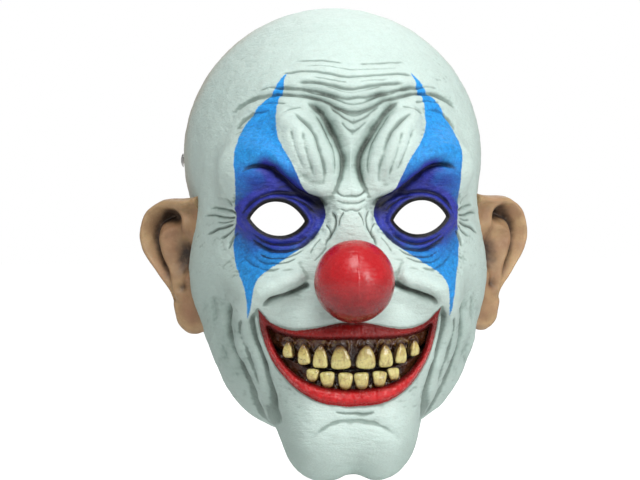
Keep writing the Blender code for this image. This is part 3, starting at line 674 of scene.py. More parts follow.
def build_skin(rows=340, columns=860):
    p = skin_grid(rows, columns)
    n = grid_normals(p)
    height, wash_and_shade = sculpt(p, n)
    signed_x, z = p[..., 0] / MM, p[..., 2] / MM
    x, leaning_x = np.abs(signed_x), np.abs(signed_x - drift(z))
    wobble = 0.35 * grain(p, 7 * MM, 4.0)
    front, far = p[..., 1] < 0, -60.0
    blue = np.where(front, inside_distance(leaning_x + wobble, z, BLUE, 25), far)
    eye = np.where(front, inside_distance(x, z, EYE, 25), far)
    lips = np.where(front, inside_distance(signed_x, z + wobble, LIPS, 20), far)
    hole = np.where(front, inside_distance(signed_x, z, OPENING, 25), far)

    quiet = 1 - smooth(-3.0, 1.0, lips) * 0.92
    quiet_eye = 1 - smooth(-6.0, -2.0, eye) * 0.85
    height = height * quiet * quiet_eye
    height += lip_shape(z, lips, hole)
    height += 1.5 * bell(-eye - 3.0, 1.6) - 1.6 * smooth(-2.0, 0.5, eye) + 0.5 * bell(-eye - 7.0, 1.2)
    lip_zone = smooth(-0.5, 1.2, lips)
    rays = grain(p, 2.6 * MM, 12.0, (1.5, 1, 0.45)) + 0.6 * grain(p, 5 * MM, 18.0, (1.4, 1, 0.6))
    height += lip_zone * (0.35 + 0.65 * smooth(-74, -84, z)) * 0.55 * rays
    height += 0.13 * grain(p, 2.6 * MM, 6.0, (0.6, 1, 1.6)) * (1 + 1.4 * smooth(-4, 2, blue) * (1 - lip_zone))
    height += 0.34 * grain(p, 9 * MM, 9.0) + 0.16 * grain(p, 4.5 * MM, 16.0, (0.5, 1, 1.7))
    cleft = bell(signed_x - 2.5, 7.5) * smooth(-138, -154, z) * smooth(0.5, -0.1, n[..., 1])
    height -= 3.0 * cleft

    rim_row, bead_row = rows - 14, rows - 7
    rim = smooth(rim_row, rows - 1, np.arange(rows))[:, None]
    height += 0.5 * bell(np.arange(rows)[:, None] - bead_row, 3.5) + 0.25 * rim * grain(p, 12 * MM, 14.0)
    near_hole = smooth(-9, -4, np.maximum(eye, hole))[..., None]
    outward = n * (1 - near_hole) + FORWARD * near_hole
    outward /= np.linalg.norm(outward, axis=-1, keepdims=True)
    shaped = p + outward * (height * MM)[..., None]
    # Grey wash and painted shade gather in hollows, but less beside the eyes, on the chin and brow and above
    # the mouth.
    hollow_shade = np.zeros(x.shape)
    for k, gain in ((2, 4.0), (6, 1.5), (13, 0.55)):
        lean = np.einsum("...i,...i", neighbours(shaped, k) - shaped, n) / MM
        hollow_shade += gain * np.clip(lean, -0.05, 0.5)
    hollow_shade *= 1 - 0.85 * smooth(66, 74, x) * smooth(-14, 4, z) - 0.6 * smooth(62, 72, x) * smooth(-30, -44, z)
    hollow_shade *= 1 - 0.9 * smooth(-122, -132, z) - 0.5 * smooth(18, 30, z) * smooth(60, 46, x)
    hollow_shade *= 1 - 0.75 * smooth(-46, -50, z) * smooth(-68, -62, z) * smooth(54, 47, x)
    wash_and_shade = np.clip(wash_and_shade + 0.85 * np.clip(hollow_shade, -0.14, 0.8), 0, 2)
    colours = paint(p, n, x, z, wash_and_shade, lips, hole, eye)

    faces = grid_faces(rows, columns, closed=True)
    flat_eye, flat_hole = eye.ravel(), hole.ravel()
    opened = np.maximum(flat_eye, flat_hole)
    faces = faces[~np.all(opened[faces] > 0, axis=1)]
    inner = (shaped - outward * (WALL + 0.5 * MM * np.maximum(height, 0))[..., None]).reshape(-1, 3)
    points = shaped.reshape(-1, 3)
    for sheet in (points, inner):
        snap_to_edge(sheet, flat_eye, EYE, True)
        snap_to_edge(sheet, flat_hole, OPENING, False)
    used = np.zeros(len(points), bool)
    used[faces.ravel()] = True
    faces = (np.cumsum(used) - 1)[faces]
    count = used.sum()
    start, end = open_edges(faces).T
    rim_faces = np.stack([end, start, start + count, end + count], -1)
    every = np.vstack([faces, rim_faces, faces[:, ::-1] + count])
    skin = add_mesh("skin", np.vstack([points[used], inner[used]]), every.tolist())
    for name, colour in zip(("face_paint", "patch_paint", "lip_paint"), colours):
        colour_attribute(skin, name, np.tile(colour.reshape(-1, 3)[used], (2, 1)))
    number_attribute(skin, "blue_edge", np.tile(blue.ravel()[used], 2))
    number_attribute(skin, "lip_edge", np.tile(lips.ravel()[used], 2))
    inside_face = np.arange(len(every)) >= len(faces) + len(rim_faces)
    skin.data.polygons.foreach_set("material_index", inside_face.astype(int))
    return skin


def open_edges(faces):
    """The edges that only one face has, in that face's direction."""
    edges = np.stack([faces, np.roll(faces, -1, 1)], -1).reshape(-1, 2)
    keys = edges.min(1).astype(np.int64) * (faces.max() + 1) + edges.max(1)
    _, first, counts = np.unique(keys, return_index=True, return_counts=True)
    return edges[first[counts == 1]]


def snap_to_edge(points, inside, outline, paired, reach=4):
    """Moves the points less than reach mm inside an opening on to its outline."""
    line = np.vstack([outline, outline[:1]])
    for i in np.nonzero((inside > 0) & (inside < reach))[0]:
        x, z = points[i, 0] / MM, points[i, 2] / MM
        side = -1 if paired and x < 0 else 1
        a, b = line[:-1], line[1:]
        ab = b - a
        t = np.clip(((side * x - a[:, 0]) * ab[:, 0] + (z - a[:, 1]) * ab[:, 1]) / (ab**2).sum(1), 0, 1)
        near = a + ab * t[:, None]
        best = near[np.argmin((near[:, 0] - side * x) ** 2 + (near[:, 1] - z) ** 2)]
        points[i, 0], points[i, 2] = side * best[0] * MM, best[1] * MM


def skin_material():
    m = Nodes("painted_latex_skin")
    face = m.attribute("face_paint")
    patch = m.attribute("patch_paint")
    lip = m.attribute("lip_paint")
    blue = m.attribute("blue_edge", "Fac")
    lip_edge = m.attribute("lip_edge", "Fac")
    bristle = m.noise(900, 2)
    blue = m.math("ADD", blue, m.math("MULTIPLY", m.math("SUBTRACT", bristle, 0.5), 1.1))
    lip_edge = m.math("ADD", lip_edge, m.math("MULTIPLY", m.math("SUBTRACT", bristle, 0.5), 0.9))
    in_blue, in_lip = m.ramp(blue, -0.35, 0.35), m.ramp(lip_edge, -0.3, 0.3)
    stain = m.noise(260, 5, 0.65)
    speck = m.noise(1500, 2, 0.6)
    pores = m.cells(620, stretch=(0.75, 1, 1.25))
    crack = m.ramp(pores, 0.0, 0.16)
    colour = m.mix(m.ramp(stain, 0.35, 0.75, 0.0, 0.16), face, (0.46, 0.53, 0.48))
    colour = m.mix(m.ramp(crack, 0.0, 1.0, 0.13, 0.0), colour, (0.36, 0.42, 0.38))
    blue_colour = m.mix(m.ramp(speck, 0.40, 0.72), patch, (1.65, 1.38, 1.18), "MULTIPLY")
    blue_colour = m.mix(m.ramp(crack, 0.0, 1.0, 0.35, 0.0), blue_colour, (0.45, 0.5, 0.7), "MULTIPLY")
    colour = m.mix(in_blue, colour, blue_colour)
    colour = m.mix(in_lip, colour, lip)
    rough = m.ramp(stain, 0.2, 0.8, 0.50, 0.66)
    rough = m.math("SUBTRACT", rough, m.math("MULTIPLY", in_blue, 0.08))
    rough = m.math("SUBTRACT", rough, m.math("MULTIPLY", in_lip, 0.30))
    wrinkle = m.noise(420, 4, 0.6, stretch=(0.55, 1, 1.7))
    bump = m.bump(pores, 0.0004, 0.6)
    bump = m.bump(wrinkle, 0.0011, 0.6, bump)
    bump = m.bump(speck, 0.00022, 0.4, bump)
    return m.set(Base_Color=colour, Roughness=rough, Normal=bump, Subsurface_Weight=0.06,
                 Subsurface_Radius=(0.9, 0.6, 0.5), Subsurface_Scale=0.002, Specular_IOR_Level=0.42)


def bare_latex_material():
    m = Nodes("bare_latex")
    tone = m.mix(m.noise(60, 4), (0.62, 0.50, 0.30), (0.74, 0.63, 0.42))
    tone = m.mix(m.ramp(m.noise(700, 3), 0.55, 0.75, 0.0, 0.5), tone, (0.45, 0.33, 0.18))
    bump = m.bump(m.noise(240, 5, 0.65), 0.0012, 0.6)
    bump = m.bump(m.cells(300), 0.0004, 0.4, bump)
    return m.set(Base_Color=tone, Roughness=0.62, Normal=bump, Subsurface_Weight=0.08,
                 Subsurface_Scale=0.002, Specular_IOR_Level=0.4)


skin = build_skin()
skin.data.materials.append(skin_material())
BARE = bare_latex_material()
skin.data.materials.append(BARE)
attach(skin, "mask")
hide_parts("face_skin")


# ---------------------------------------------------------------- the nose

def build_nose():
    """A slightly uneven painted ball, open at the back like the casting under it."""
    rows, columns = 110, 160
    tip, back_opening, lip_depth = 0.0008, math.radians(43), 0.055
    polar = np.linspace(tip, math.pi - back_opening, rows)[:, None]
    around = np.arange(columns) * 2 * math.pi / columns
    out, ahead = np.sin(polar), -np.cos(polar) * np.ones(columns)
    d = np.stack([out * np.cos(around), ahead, out * np.sin(around)], -1)
    ball = d * NOSE_RADIUS
    radii = np.array([24.1, 24.7, 24.9]) * MM
    lumps = 0.22 * grain(ball, 14 * MM, 1.0) + 0.10 * grain(ball, 4 * MM, 2.0)
    shape = d * radii * (1 + (lumps * MM / NOSE_RADIUS)[..., None])
    seam = 0.16 * bell(shape[..., 0] / MM - 0.4 * grain(ball, 9 * MM, 5.0), 0.5)
    seam = seam * smooth(0.0, 0.5, -d[..., 1] + 0.6)
    shape = shape + d * (seam * MM)[..., None]
    depth = np.linspace(0, 1, 10)[:, None, None]
    lip = shape[-1] * (1 - lip_depth * depth)
    inside = shape[::-4] * (1 - WALL / NOSE_RADIUS)
    rings = np.concatenate([shape, lip[1:], inside[1:]])
    level = rings[..., 2] / NOSE_RADIUS
    shade = smooth(0.45, -0.9, level) * 0.85 + 0.5 * bell(rings[..., 1] / MM - 14, 9)
    patchy = 0.5 + 0.5 * grain(rings, 6 * MM, 3.0)
    red, deep, worn = linear(186, 14, 24), linear(98, 8, 12), linear(150, 60, 44)
    colour = over(red, deep, np.clip(shade + 0.35 * (patchy - 0.5), 0, 1))
    flecks = smooth(0.52, 0.75, grain(rings, 1.6 * MM, 6.0) + 0.25 * patchy) * smooth(0.1, -0.6, level)
    colour = over(colour, worn, 0.35 * flecks)
    nose = ring_mesh("ball_nose", rings + NOSE, flip=True)
    colour_attribute(nose, "paint", colour.reshape(-1, 3))
    m = Nodes("red_gloss_paint")
    brush = m.noise(150, 4, 0.6, stretch=(0.35, 1, 2.4))
    dabs = m.noise(330, 3, 0.6)
    paint_colour = m.mix(m.ramp(dabs, 0.55, 0.75, 0.0, 0.22), m.attribute("paint"), (0.72, 0.05, 0.06))
    bump = m.bump(brush, 0.0016, 0.5)
    bump = m.bump(dabs, 0.0005, 0.45, bump)
    rough = m.ramp(dabs, 0.3, 0.7, 0.20, 0.36)
    nose.data.materials.append(m.set(Base_Color=paint_colour, Roughness=rough, Normal=bump, Coat_Weight=0.35,
                                     Coat_Roughness=0.14, Specular_IOR_Level=0.45))
    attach(nose, "mask")
    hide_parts("nose_ball")


# ---------------------------------------------------------------- gums and teeth

# Each tooth on the wearer's left, in mm: its middle's x, its width, and its lower and upper ends.
UPPER_TEETH = [(8.2, 12.6, -90.8, -76.2), (19.6, 9.6, -90.2, -76.2), (29.9, 8.4, -88.2, -75.8),
               (38.2, 7.2, -84.2, -74.3)]
LOWER_TEETH = [(5.2, 9.4, -103.8, -93.0), (15.5, 9.2, -102.4, -92.4), (25.0, 8.2, -98.8, -90.8)]
TOOTH_TILTS = np.radians([3, -4, 2, -3, 4, -2, 3, -4, 5, -3, 2, -4, 3, -5])


def bite_height(x):
    """Where the rows of teeth meet."""
    return -92.0 + 0.0062 * x**2


def gum_point(x, z, depth):
    """Points behind the form's front, as far in from its surface as depth says."""
    at = front_points(x, z)
    n = form_normals(at)
    at[..., 1] += depth / np.maximum(-n[..., 1], 0.6)
    return at


def build_gums():
    rows, columns = 90, 230
    x = np.linspace(-59, 59, columns) * MM
    ax, wider = np.abs(x) / MM, 1.14
    top = np.interp(ax / wider, *np.array(OPENING_TOP).T) + 5
    bottom = np.interp(ax / wider, *np.array(OPENING_BOTTOM[::-1]).T) - 5.5
    t = np.linspace(0, 1, rows)[:, None]
    z = bottom + (top - bottom) * t
    xx = np.broadcast_to(x / MM, z.shape)
    height = np.zeros(z.shape)
    # stain here is a dark ring round the foot of each tooth on the gum: painted shade where tooth meets gum.
    stain = np.zeros(z.shape)
    for teeth, sign in ((UPPER_TEETH, 1), (LOWER_TEETH, -1)):
        for cx, width, low, high in teeth:
            root = high if sign > 0 else low
            u, v = (np.abs(xx) - cx) / width, (z - root) * sign
            height += 1.5 * np.exp(-((u / 0.62) ** 2)) * smooth(-3.0, 1.0, v) * smooth(9, 3, v)
            height += 1.1 * bell(np.hypot(u * width, v + 1.0) - width * 0.48, 0.9)
            stain += bell(np.hypot(u * width * 0.9, (z - (low + high) / 2)) - width * 0.62, 1.6)
    height -= 2.4 * bell(z - bite_height(xx), 1.6)
    flat = np.stack([xx, z * 0, z], -1) * MM
    height += 0.5 * grain(flat, 3 * MM, 2.0) + 0.3 * grain(flat, 1.3 * MM, 4.0)
    front_in, back_in = 4.6, 7.2
    front = gum_point(np.broadcast_to(x, z.shape), z * MM, (front_in - height) * MM)
    back = gum_point(np.broadcast_to(x, z.shape)[::3, ::3], (z * MM)[::3, ::3], back_in * MM)
    count = front.shape[0] * front.shape[1]
    faces = grid_faces(rows, columns, flip=True).tolist()
    back_faces = (grid_faces(*back.shape[:2]) + count).tolist()
    gums = add_mesh("gums", np.vstack([front.reshape(-1, 3), back.reshape(-1, 3)]), faces + back_faces)
    fine = grain(front, 2.0 * MM, 1.0)
    flesh, dark, ochre_highlight = linear(86, 44, 20), linear(22, 11, 6), linear(128, 98, 42)
    # A darker base, darker still where the gum lies lower: painted shade in its hollows and the groove where
    # the teeth meet. The ring round each tooth is painted shade too, and ochre on the raised parts is a
    # painted highlight.
    colour = over(flesh, dark, np.clip(0.35 - 0.42 * height + 0.25 * fine, 0, 1))
    colour = over(colour, dark, np.clip(stain * 0.55, 0, 0.85))
    colour = over(colour, ochre_highlight, 0.65 * smooth(0.0, 0.5, fine) * smooth(0.3, 1.2, height) * (ax < 44))
    plain = np.tile(flesh, (back.shape[0] * back.shape[1], 1))
    colour_attribute(gums, "paint", np.vstack([colour.reshape(-1, 3), plain]))
    m = Nodes("gum_paint")
    bump = m.bump(m.noise(520, 4), 0.0009, 0.6)
    tone = m.mix(m.ramp(m.noise(900, 2), 0.45, 0.7, 0.0, 0.3), m.attribute("paint"), (0.05, 0.018, 0.012))
    rough = m.ramp(m.noise(300), 0.3, 0.7, 0.14, 0.32)
    gums.data.materials.append(m.set(Base_Color=tone, Roughness=rough, Normal=bump, Coat_Weight=0.5,
                                     Coat_Roughness=0.12))
    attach(gums, "mask")
    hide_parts("gum_plate")


def tooth_shape(width, tall, upper, seed):
    """A rounded crown in mm, narrow at its root, with the root at z = 0 and the edge at z = -tall."""
    rows, columns = 44, 64
    v = np.linspace(0, 1, rows)[:, None]
    a = np.arange(columns) * 2 * math.pi / columns
    end = np.sqrt(np.clip(1 - np.clip((v - 0.82) / 0.18, 0, 1) ** 2.6, 0, 1))
    widths = [0.10, 0.42, 0.70, 0.90, 1.0, 0.98] if upper else [0.30, 0.62, 0.80, 0.92, 1.0, 1.0]
    wide = np.interp(v, [0, 0.12, 0.3, 0.5, 0.75, 1], widths)
    root = np.sqrt(np.clip(1 - np.clip(1 - v / 0.10, 0, 1) ** 2, 0, 1))
    end_stub, root_stub = np.maximum(end, 0.02), np.maximum(root, 0.02)
    half = width / 2 * wide * (0.25 + 0.75 * end) * root_stub * np.where(v >= 1, 0.02, 1)
    thick = 2.7 * np.interp(v, [0, 0.2, 0.6, 1], [0.55, 0.9, 1.0, 0.72]) * end_stub * root_stub
    c, s = np.cos(a), np.sin(a)
    x = half * np.sign(c) * np.abs(c) ** 0.62
    y = thick * np.sign(s) * np.abs(s) ** 0.75
    z = np.broadcast_to(-tall * v, x.shape)
    p = np.stack([x, y, z], -1)
    p[..., 1] -= 0.5 * np.sin(math.pi * v) * (y < 0)
    d = p / np.maximum(np.linalg.norm(p, axis=-1, keepdims=True), 1e-6)
    dents = 0.18 * grain(p * MM + seed, 3.2 * MM) + 0.09 * grain(p * MM + seed, 1.3 * MM, 4.0)
    p = p + d * dents[..., None]
    p[..., 1] += 0.22 * bell(p[..., 0] / width - 0.16, 0.07) * smooth(0.25, 0.9, v) * (s < 0)
    return p, v


def build_tooth(node, x, width, low, high, upper, index):
    centre_z = (low + high) / 2
    at = front_points(np.array(x * MM), np.array(centre_z * MM))
    n = form_normals(at)
    heading = math.atan2(n[0], -n[1])
    tall = high - low + (0.4 if upper else 0.2)
    p, v = tooth_shape(width, tall, upper, index * 0.37)
    if not upper:
        p = p * (1, 1, -1)
    turn = np.array(Matrix.Rotation(heading, 3, "Z"))
    p = p @ np.array(Matrix.Rotation(TOOTH_TILTS[index], 3, "Y")).T
    p = p @ turn.T
    box_low, box_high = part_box(node)
    middle = (Vector(box_low) + Vector(box_high)) / 2
    root_z = middle.z + (tall / 2 if upper else -tall / 2) * MM
    points = p * MM + np.array([middle.x, middle.y, root_z])
    columns = p.shape[1]
    tooth = ring_mesh(node + "_crown", points, flip=upper)
    fine = grain(points, 2.2 * MM, index)
    ivory, yellow = linear(216, 206, 132), linear(178, 148, 66)
    brown, gap_shade = linear(84, 48, 18), linear(26, 15, 8)
    v = np.broadcast_to(v, fine.shape)
    across = np.abs(np.cos(np.arange(columns) * 2 * math.pi / columns)) * np.ones_like(v)
    colour = over(ivory, yellow, np.clip(0.85 - 1.1 * v + 0.35 * fine, 0, 1))
    stained = 0.95 * smooth(0.34, 0.04, v + 0.14 * fine) + 0.65 * smooth(0.72, 1.0, across + 0.10 * fine)
    colour = over(colour, brown, np.clip(stained, 0, 1))
    # Near black along each crown's sides and at its root: painted shade where it meets its neighbours and the
    # gum.
    colour = over(colour, gap_shade, np.clip(0.85 * smooth(0.91, 1.0, across) + 0.8 * smooth(0.10, 0.0, v), 0, 1))
    specks = smooth(0.46, 0.70, grain(points, 0.9 * MM, index + 3.0))
    cracks = bell(grain(points, 3.4 * MM, index + 6.0, (1.6, 1, 0.6)), 0.045)
    colour = over(colour, brown, np.clip(0.6 * specks + 0.5 * cracks, 0, 1))
    colour_attribute(tooth, "paint", colour.reshape(-1, 3))
    tooth.data.materials.append(TOOTH)
    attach(tooth, "mask")
    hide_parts(node)


def tooth_material():
    m = Nodes("tooth_paint")
    streak = m.noise(420, 4, 0.6, stretch=(1.6, 1, 0.5))
    tone = m.mix(m.ramp(streak, 0.42, 0.72, 0.0, 0.5), m.attribute("paint"), (0.34, 0.20, 0.06))
    bump = m.bump(streak, 0.0008, 0.5)
    return m.set(Base_Color=tone, Roughness=m.ramp(m.noise(260), 0.3, 0.7, 0.16, 0.34), Normal=bump,
                 Coat_Weight=0.9, Coat_Roughness=0.08, Subsurface_Weight=0.08, Subsurface_Scale=0.0015)


# ---------------------------------------------------------------- the ears

# Lines on the left ear's face, as (distance out from the head, height), in mm.
EAR_RIM = [(-5, 14.5), (-1, 13.6), (4, 13.2), (12, 13.0), (20, 10.4), (26.4, 3.6), (29.4, -8), (28.5, -17),
           (25, -25), (19.7, -33), (15.0, -41), (12, -49), (10.2, -58), (8.2, -66), (3.5, -71.2), (-2, -72.2),
           (-7, -70.5)]
EAR_CURL = [(14, 10.5), (7.5, 8.5), (3, 2.5), (1.0, -5), (1.5, -11)]
EAR_GROOVE = [(13, 2.5), (19.4, -3.4), (20.6, -13), (17.6, -23), (13.2, -33), (10.2, -43), (8.6, -51)]
EAR_FOLD = [(10.5, -5.5), (14.2, -11), (14.2, -19), (11.4, -29), (8.4, -38), (7, -46)]
EAR_BOWL = np.array([9.0, -16.0])
EAR_ROOT = np.array([94, -3]) * MM
EAR_TURN = math.radians(48)


def ear_relief(s, z, edge):
    """The front face's rise and its painted shade, dark in the hollows and lightened on the ridges, by
    distance out, height and distance to the rim.
    """
    lines = (EAR_CURL, EAR_GROOVE, EAR_FOLD)
    to_curl, to_groove, to_fold = (to_line(s, z, spline(line), 14)[0] for line in lines)
    helix = bell(edge - 3.4, 2.8) * smooth(-54, -38, z)
    root = bell(to_curl, 2.7) * smooth(-14, -6, z)
    groove = bell(to_groove, 2.1) * smooth(-57, -44, z)
    fold = bell(to_fold, 3.2) * smooth(-1, -9, z)
    cup, top = spot(s, z, (3.2, -24), (5.2, 10.0)), spot(s, z, (9.5, 1.2), (6.0, 4.4))
    shade, notch = spot(s, z, (10, 2.8), (6.5, 4.6)), spot(s, z, (4.2, -43), (2.2, 3.6))
    tragus = spot(s, z, (0.3, -36), (2.8, 5.5))
    rise = 4.6 * helix + 1.9 * smooth(0, 4, edge) * smooth(-42, -56, z)
    rise += 3.6 * root * (1 - helix)
    rise -= 4.4 * groove
    rise += 3.0 * fold
    rise -= 6.5 * cup + 4.4 * top
    rise -= 2.0 * notch
    rise += 2.8 * tragus
    rise -= 2.6 * smooth(1.8, -0.4, edge)
    dark = 0.85 * groove * smooth(-52, -34, z) + 1.15 * cup + 1.15 * shade + 0.7 * notch
    dark -= (0.25 * fold + 0.35 * helix + 0.35 * root) * np.clip(1 - 1.6 * shade - cup, 0, 1)
    return rise, dark


def build_ear(side, name, node):
    rim = spline(EAR_RIM, 6)
    down = np.linspace(-68, 12.5, 28)
    root = np.stack([-5.5 - 6.0 * smooth(-40, -66, down), down], -1)
    outline = np.vstack([rim, root])
    front_rows = 64
    front = np.linspace(0.02, 1, front_rows)
    shares = np.concatenate([front, [1.0, 0.995, 0.98], np.linspace(0.94, 0.03, 22)])
    rows = len(shares)
    flat = EAR_BOWL + (outline - EAR_BOWL) * shares[:, None, None]
    s, z = flat[..., 0], flat[..., 1]
    edge, _, _ = to_line(s, z, rim, 40)
    rise, dark = ear_relief(s, z, edge)
    fine = np.stack([s, np.zeros(s.shape), z], -1) * MM
    rise = rise * 1.15 + 0.35 * grain(fine, 7 * MM, side) + 0.16 * grain(fine, 2.2 * MM, side + 3.0)
    back = -4.0 - 4.0 * bell(np.hypot((s - 4) / 9, (z + 20) / 20), 1) - 0.6 * smooth(6, 0, edge)
    back = np.minimum(back, rise - 1.6)
    is_back = (np.arange(rows) >= front_rows)[:, None]
    turn_over = np.clip((np.arange(rows) - (front_rows - 1)) / 4, 0, 1)[:, None]
    rise = np.where(is_back, (1 - turn_over) * rise + turn_over * back, rise)
    out = np.array([1, 1 / math.tan(EAR_TURN), 0])
    facing = np.array([math.cos(EAR_TURN), -math.sin(EAR_TURN), 0])
    p = (out * s[..., None] + facing * rise[..., None]) * MM + np.array([*EAR_ROOT, 0])
    p[..., 2] += z * MM
    p = p * np.array([side, 1, 1])
    deepest = 1.2 * MM
    sunk = np.clip(-form(p) - deepest, 0, None)
    p = p + form_normals(p) * sunk[..., None]
    ear = ring_mesh(name, p, flip=side > 0)
    tan, gold = linear(146, 112, 80), linear(184, 152, 112)
    umber, pink = linear(40, 26, 18), linear(158, 108, 88)
    mottle = np.clip(0.5 + 0.9 * grain(p, 8 * MM, 5.0), 0, 1)
    # Gold along the rim is a painted highlight on the helix, over random gold and pink mottling; umber is the
    # painted shade in the hollows.
    colour = over(tan, gold, np.clip(0.6 * mottle + 0.7 * bell(edge - 3.2, 3.0), 0, 1))
    colour = over(colour, pink, 0.6 * np.clip(0.9 * grain(p, 12 * MM, 9.0), 0, 1))
    dark = np.where(is_back, 0.15, dark) + 0.12 * grain(p, 2.5 * MM, 4.0) + 0.12 * grain(p, 7 * MM, 11.0)
    colour = over(colour, umber, 0.95 * smooth(0.05, 0.85, dark))
    colour_attribute(ear, "paint", np.clip(colour, 0, 1).reshape(-1, 3))
    ear.data.materials.append(FLESH)
    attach(ear, "mask")
    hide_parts(node)


def flesh_material():
    m = Nodes("flesh_paint")
    blot = m.noise(150, 5, 0.62)
    tone = m.mix(m.ramp(blot, 0.40, 0.70, 0.0, 0.35), m.attribute("paint"), (0.28, 0.16, 0.09))
    tone = m.mix(m.ramp(m.noise(420, 3), 0.52, 0.75, 0.0, 0.10), tone, (0.58, 0.42, 0.26))
    bump = m.bump(m.cells(480), 0.0003, 0.5)
    bump = m.bump(m.noise(300, 4), 0.0009, 0.5, bump)
    return m.set(Base_Color=tone, Roughness=m.ramp(blot, 0.3, 0.7, 0.48, 0.66), Normal=bump,
                 Subsurface_Weight=0.06, Subsurface_Scale=0.002)


# ---------------------------------------------------------------- the strap and what fixes it

HINGE_Y, STRAP_Z, STRAP_BACK_Y = 46 * MM, 38 * MM, 108 * MM
STRAP_CORNER, FOLD, RING_BARS = 34 * MM, 2.75 * MM, (18 * MM, 26 * MM)
SLIDER_X = -12 * MM
STRAP_THICK, RETURN_THICK, STRAP_WIDTH = 1.6 * MM, 1.2 * MM, 20 * MM


def arc(centre, radius, start, end, steps):
    a = np.radians(np.linspace(start, end, steps + 1))
    return np.stack([centre[0] + radius * np.cos(a), centre[1] + radius * np.sin(a)], -1)


def side_route(x):
    corner = (x - STRAP_CORNER, STRAP_BACK_Y - STRAP_CORNER)
    ahead = np.stack([np.full(30, x), np.linspace(HINGE_Y - 9 * MM, corner[1] - 2 * MM, 30)], -1)
    return np.vstack([ahead, arc(corner, STRAP_CORNER, 0, 90, 40)])


def webbing(name, route, thick):
    """A ribbed elastic band on edge along a route in x and y, with each point's place on it kept."""
    step = np.hypot(*np.diff(route, axis=0).T)
    length = np.concatenate([[0], np.cumsum(step)])
    count = max(8, int(length[-1] / (1.0 * MM)))
    at = np.linspace(0, length[-1], count)
    line = np.stack([np.interp(at, length, route[:, k]) for k in (0, 1)], -1)
    ahead = np.gradient(line, axis=0)
    ahead /= np.linalg.norm(ahead, axis=1, keepdims=True)
    out = np.stack([ahead[:, 1], -ahead[:, 0]], -1)
    across = np.linspace(-1, 1, 57)
    rib_height, rib_count = 0.10 * MM, 11
    ribs = rib_height * np.cos(across * rib_count * math.pi)
    edge = np.sqrt(np.clip(1 - np.abs(across) ** 16, 0, 1))
    face = (thick / 2 - 0.12 * MM) * edge + ribs * edge
    section = np.concatenate([np.stack([face, across], -1), np.stack([-face, across], -1)[::-1][1:-1]])
    pull = 0.25 * MM * np.sin(at / (3.1 * MM))[:, None] * np.abs(section[:, 1]) ** 8 * np.sign(section[:, 1])
    p = np.zeros((count, len(section), 3))
    p[..., :2] = line[:, None] + out[:, None] * section[:, 0][None, :, None]
    p[..., 2] = STRAP_Z + section[:, 1] * (STRAP_WIDTH / 2 - 0.2 * MM) + pull
    columns = len(section)
    faces = grid_faces(count, columns, True).tolist() + [list(range(columns))[::-1],
                                                         [(count - 1) * columns + j for j in range(columns)]]
    band = add_mesh(name, p.reshape(-1, 3), faces)
    number_attribute(band, "along", np.repeat(at, columns))
    number_attribute(band, "across", np.tile(section[:, 1] * STRAP_WIDTH / 2, count))
    band.data.materials.append(ELASTIC)
    return band


def elastic_material():
    m = Nodes("woven_elastic")
    along, across = m.attribute("along", "Fac"), m.attribute("across", "Fac")
    wave = m.math("SINE", m.math("MULTIPLY", along, 2 * math.pi / 0.0011))
    rib = m.math("SINE", m.math("MULTIPLY", across, 2 * math.pi / 0.0009))
    weave = m.math("MULTIPLY", wave, rib)
    fuzz = m.noise(1400, 2)
    tone = m.mix(m.ramp(weave, -1, 1), (0.006, 0.006, 0.007), (0.035, 0.034, 0.036))
    tone = m.mix(m.ramp(fuzz, 0.5, 0.8, 0.0, 0.5), tone, (0.06, 0.058, 0.056))
    bump = m.bump(weave, 0.0004, 0.7)
    bump = m.bump(fuzz, 0.0003, 0.4, bump)
    return m.set(Base_Color=tone, Roughness=0.88, Normal=bump, Sheen_Weight=0.3, Sheen_Roughness=0.4)


def steel_material():
    m = Nodes("nickel_plate")
    scratch = m.noise(500, 4, 0.7, stretch=(1, 0.2, 1))
    tone = m.mix(m.ramp(scratch, 0.4, 0.7), (0.52, 0.51, 0.49), (0.68, 0.67, 0.65))
    return m.set(Base_Color=tone, Metallic=1.0, Roughness=m.ramp(scratch, 0.3, 0.8, 0.22, 0.42),
                 Normal=m.bump(scratch, 0.0002, 0.3))


def plastic_material():
    m = Nodes("black_plastic")
    pits = m.noise(900, 3)
    tone = m.mix(m.noise(70, 3), (0.012, 0.012, 0.013), (0.028, 0.028, 0.03))
    return m.set(Base_Color=tone, Roughness=m.ramp(pits, 0.3, 0.7, 0.36, 0.52),
                 Normal=m.bump(pits, 0.0004, 0.5))


def turned(name, profile, place, side, finish, ride, node, slot_name):
    """A body turned about X from (radius, x) pairs."""
    columns = 48
    a = np.arange(columns) * 2 * math.pi / columns
    p = np.array([[(side * x, r * math.cos(t), r * math.sin(t)) for t in a] for r, x in profile])
    p = p * MM + np.array(place)
    made = add_mesh(name, p.reshape(-1, 3), grid_faces(len(profile), columns, True, flip=side > 0).tolist())
    made.data.materials.append(finish)
    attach(made, ride)
    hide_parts(node)


def across_head(node):
    """A node's inner and outer distance from the middle of the head, in mm."""
    low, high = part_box(node)
    return sorted((abs(low[0]) / MM, abs(high[0]) / MM))


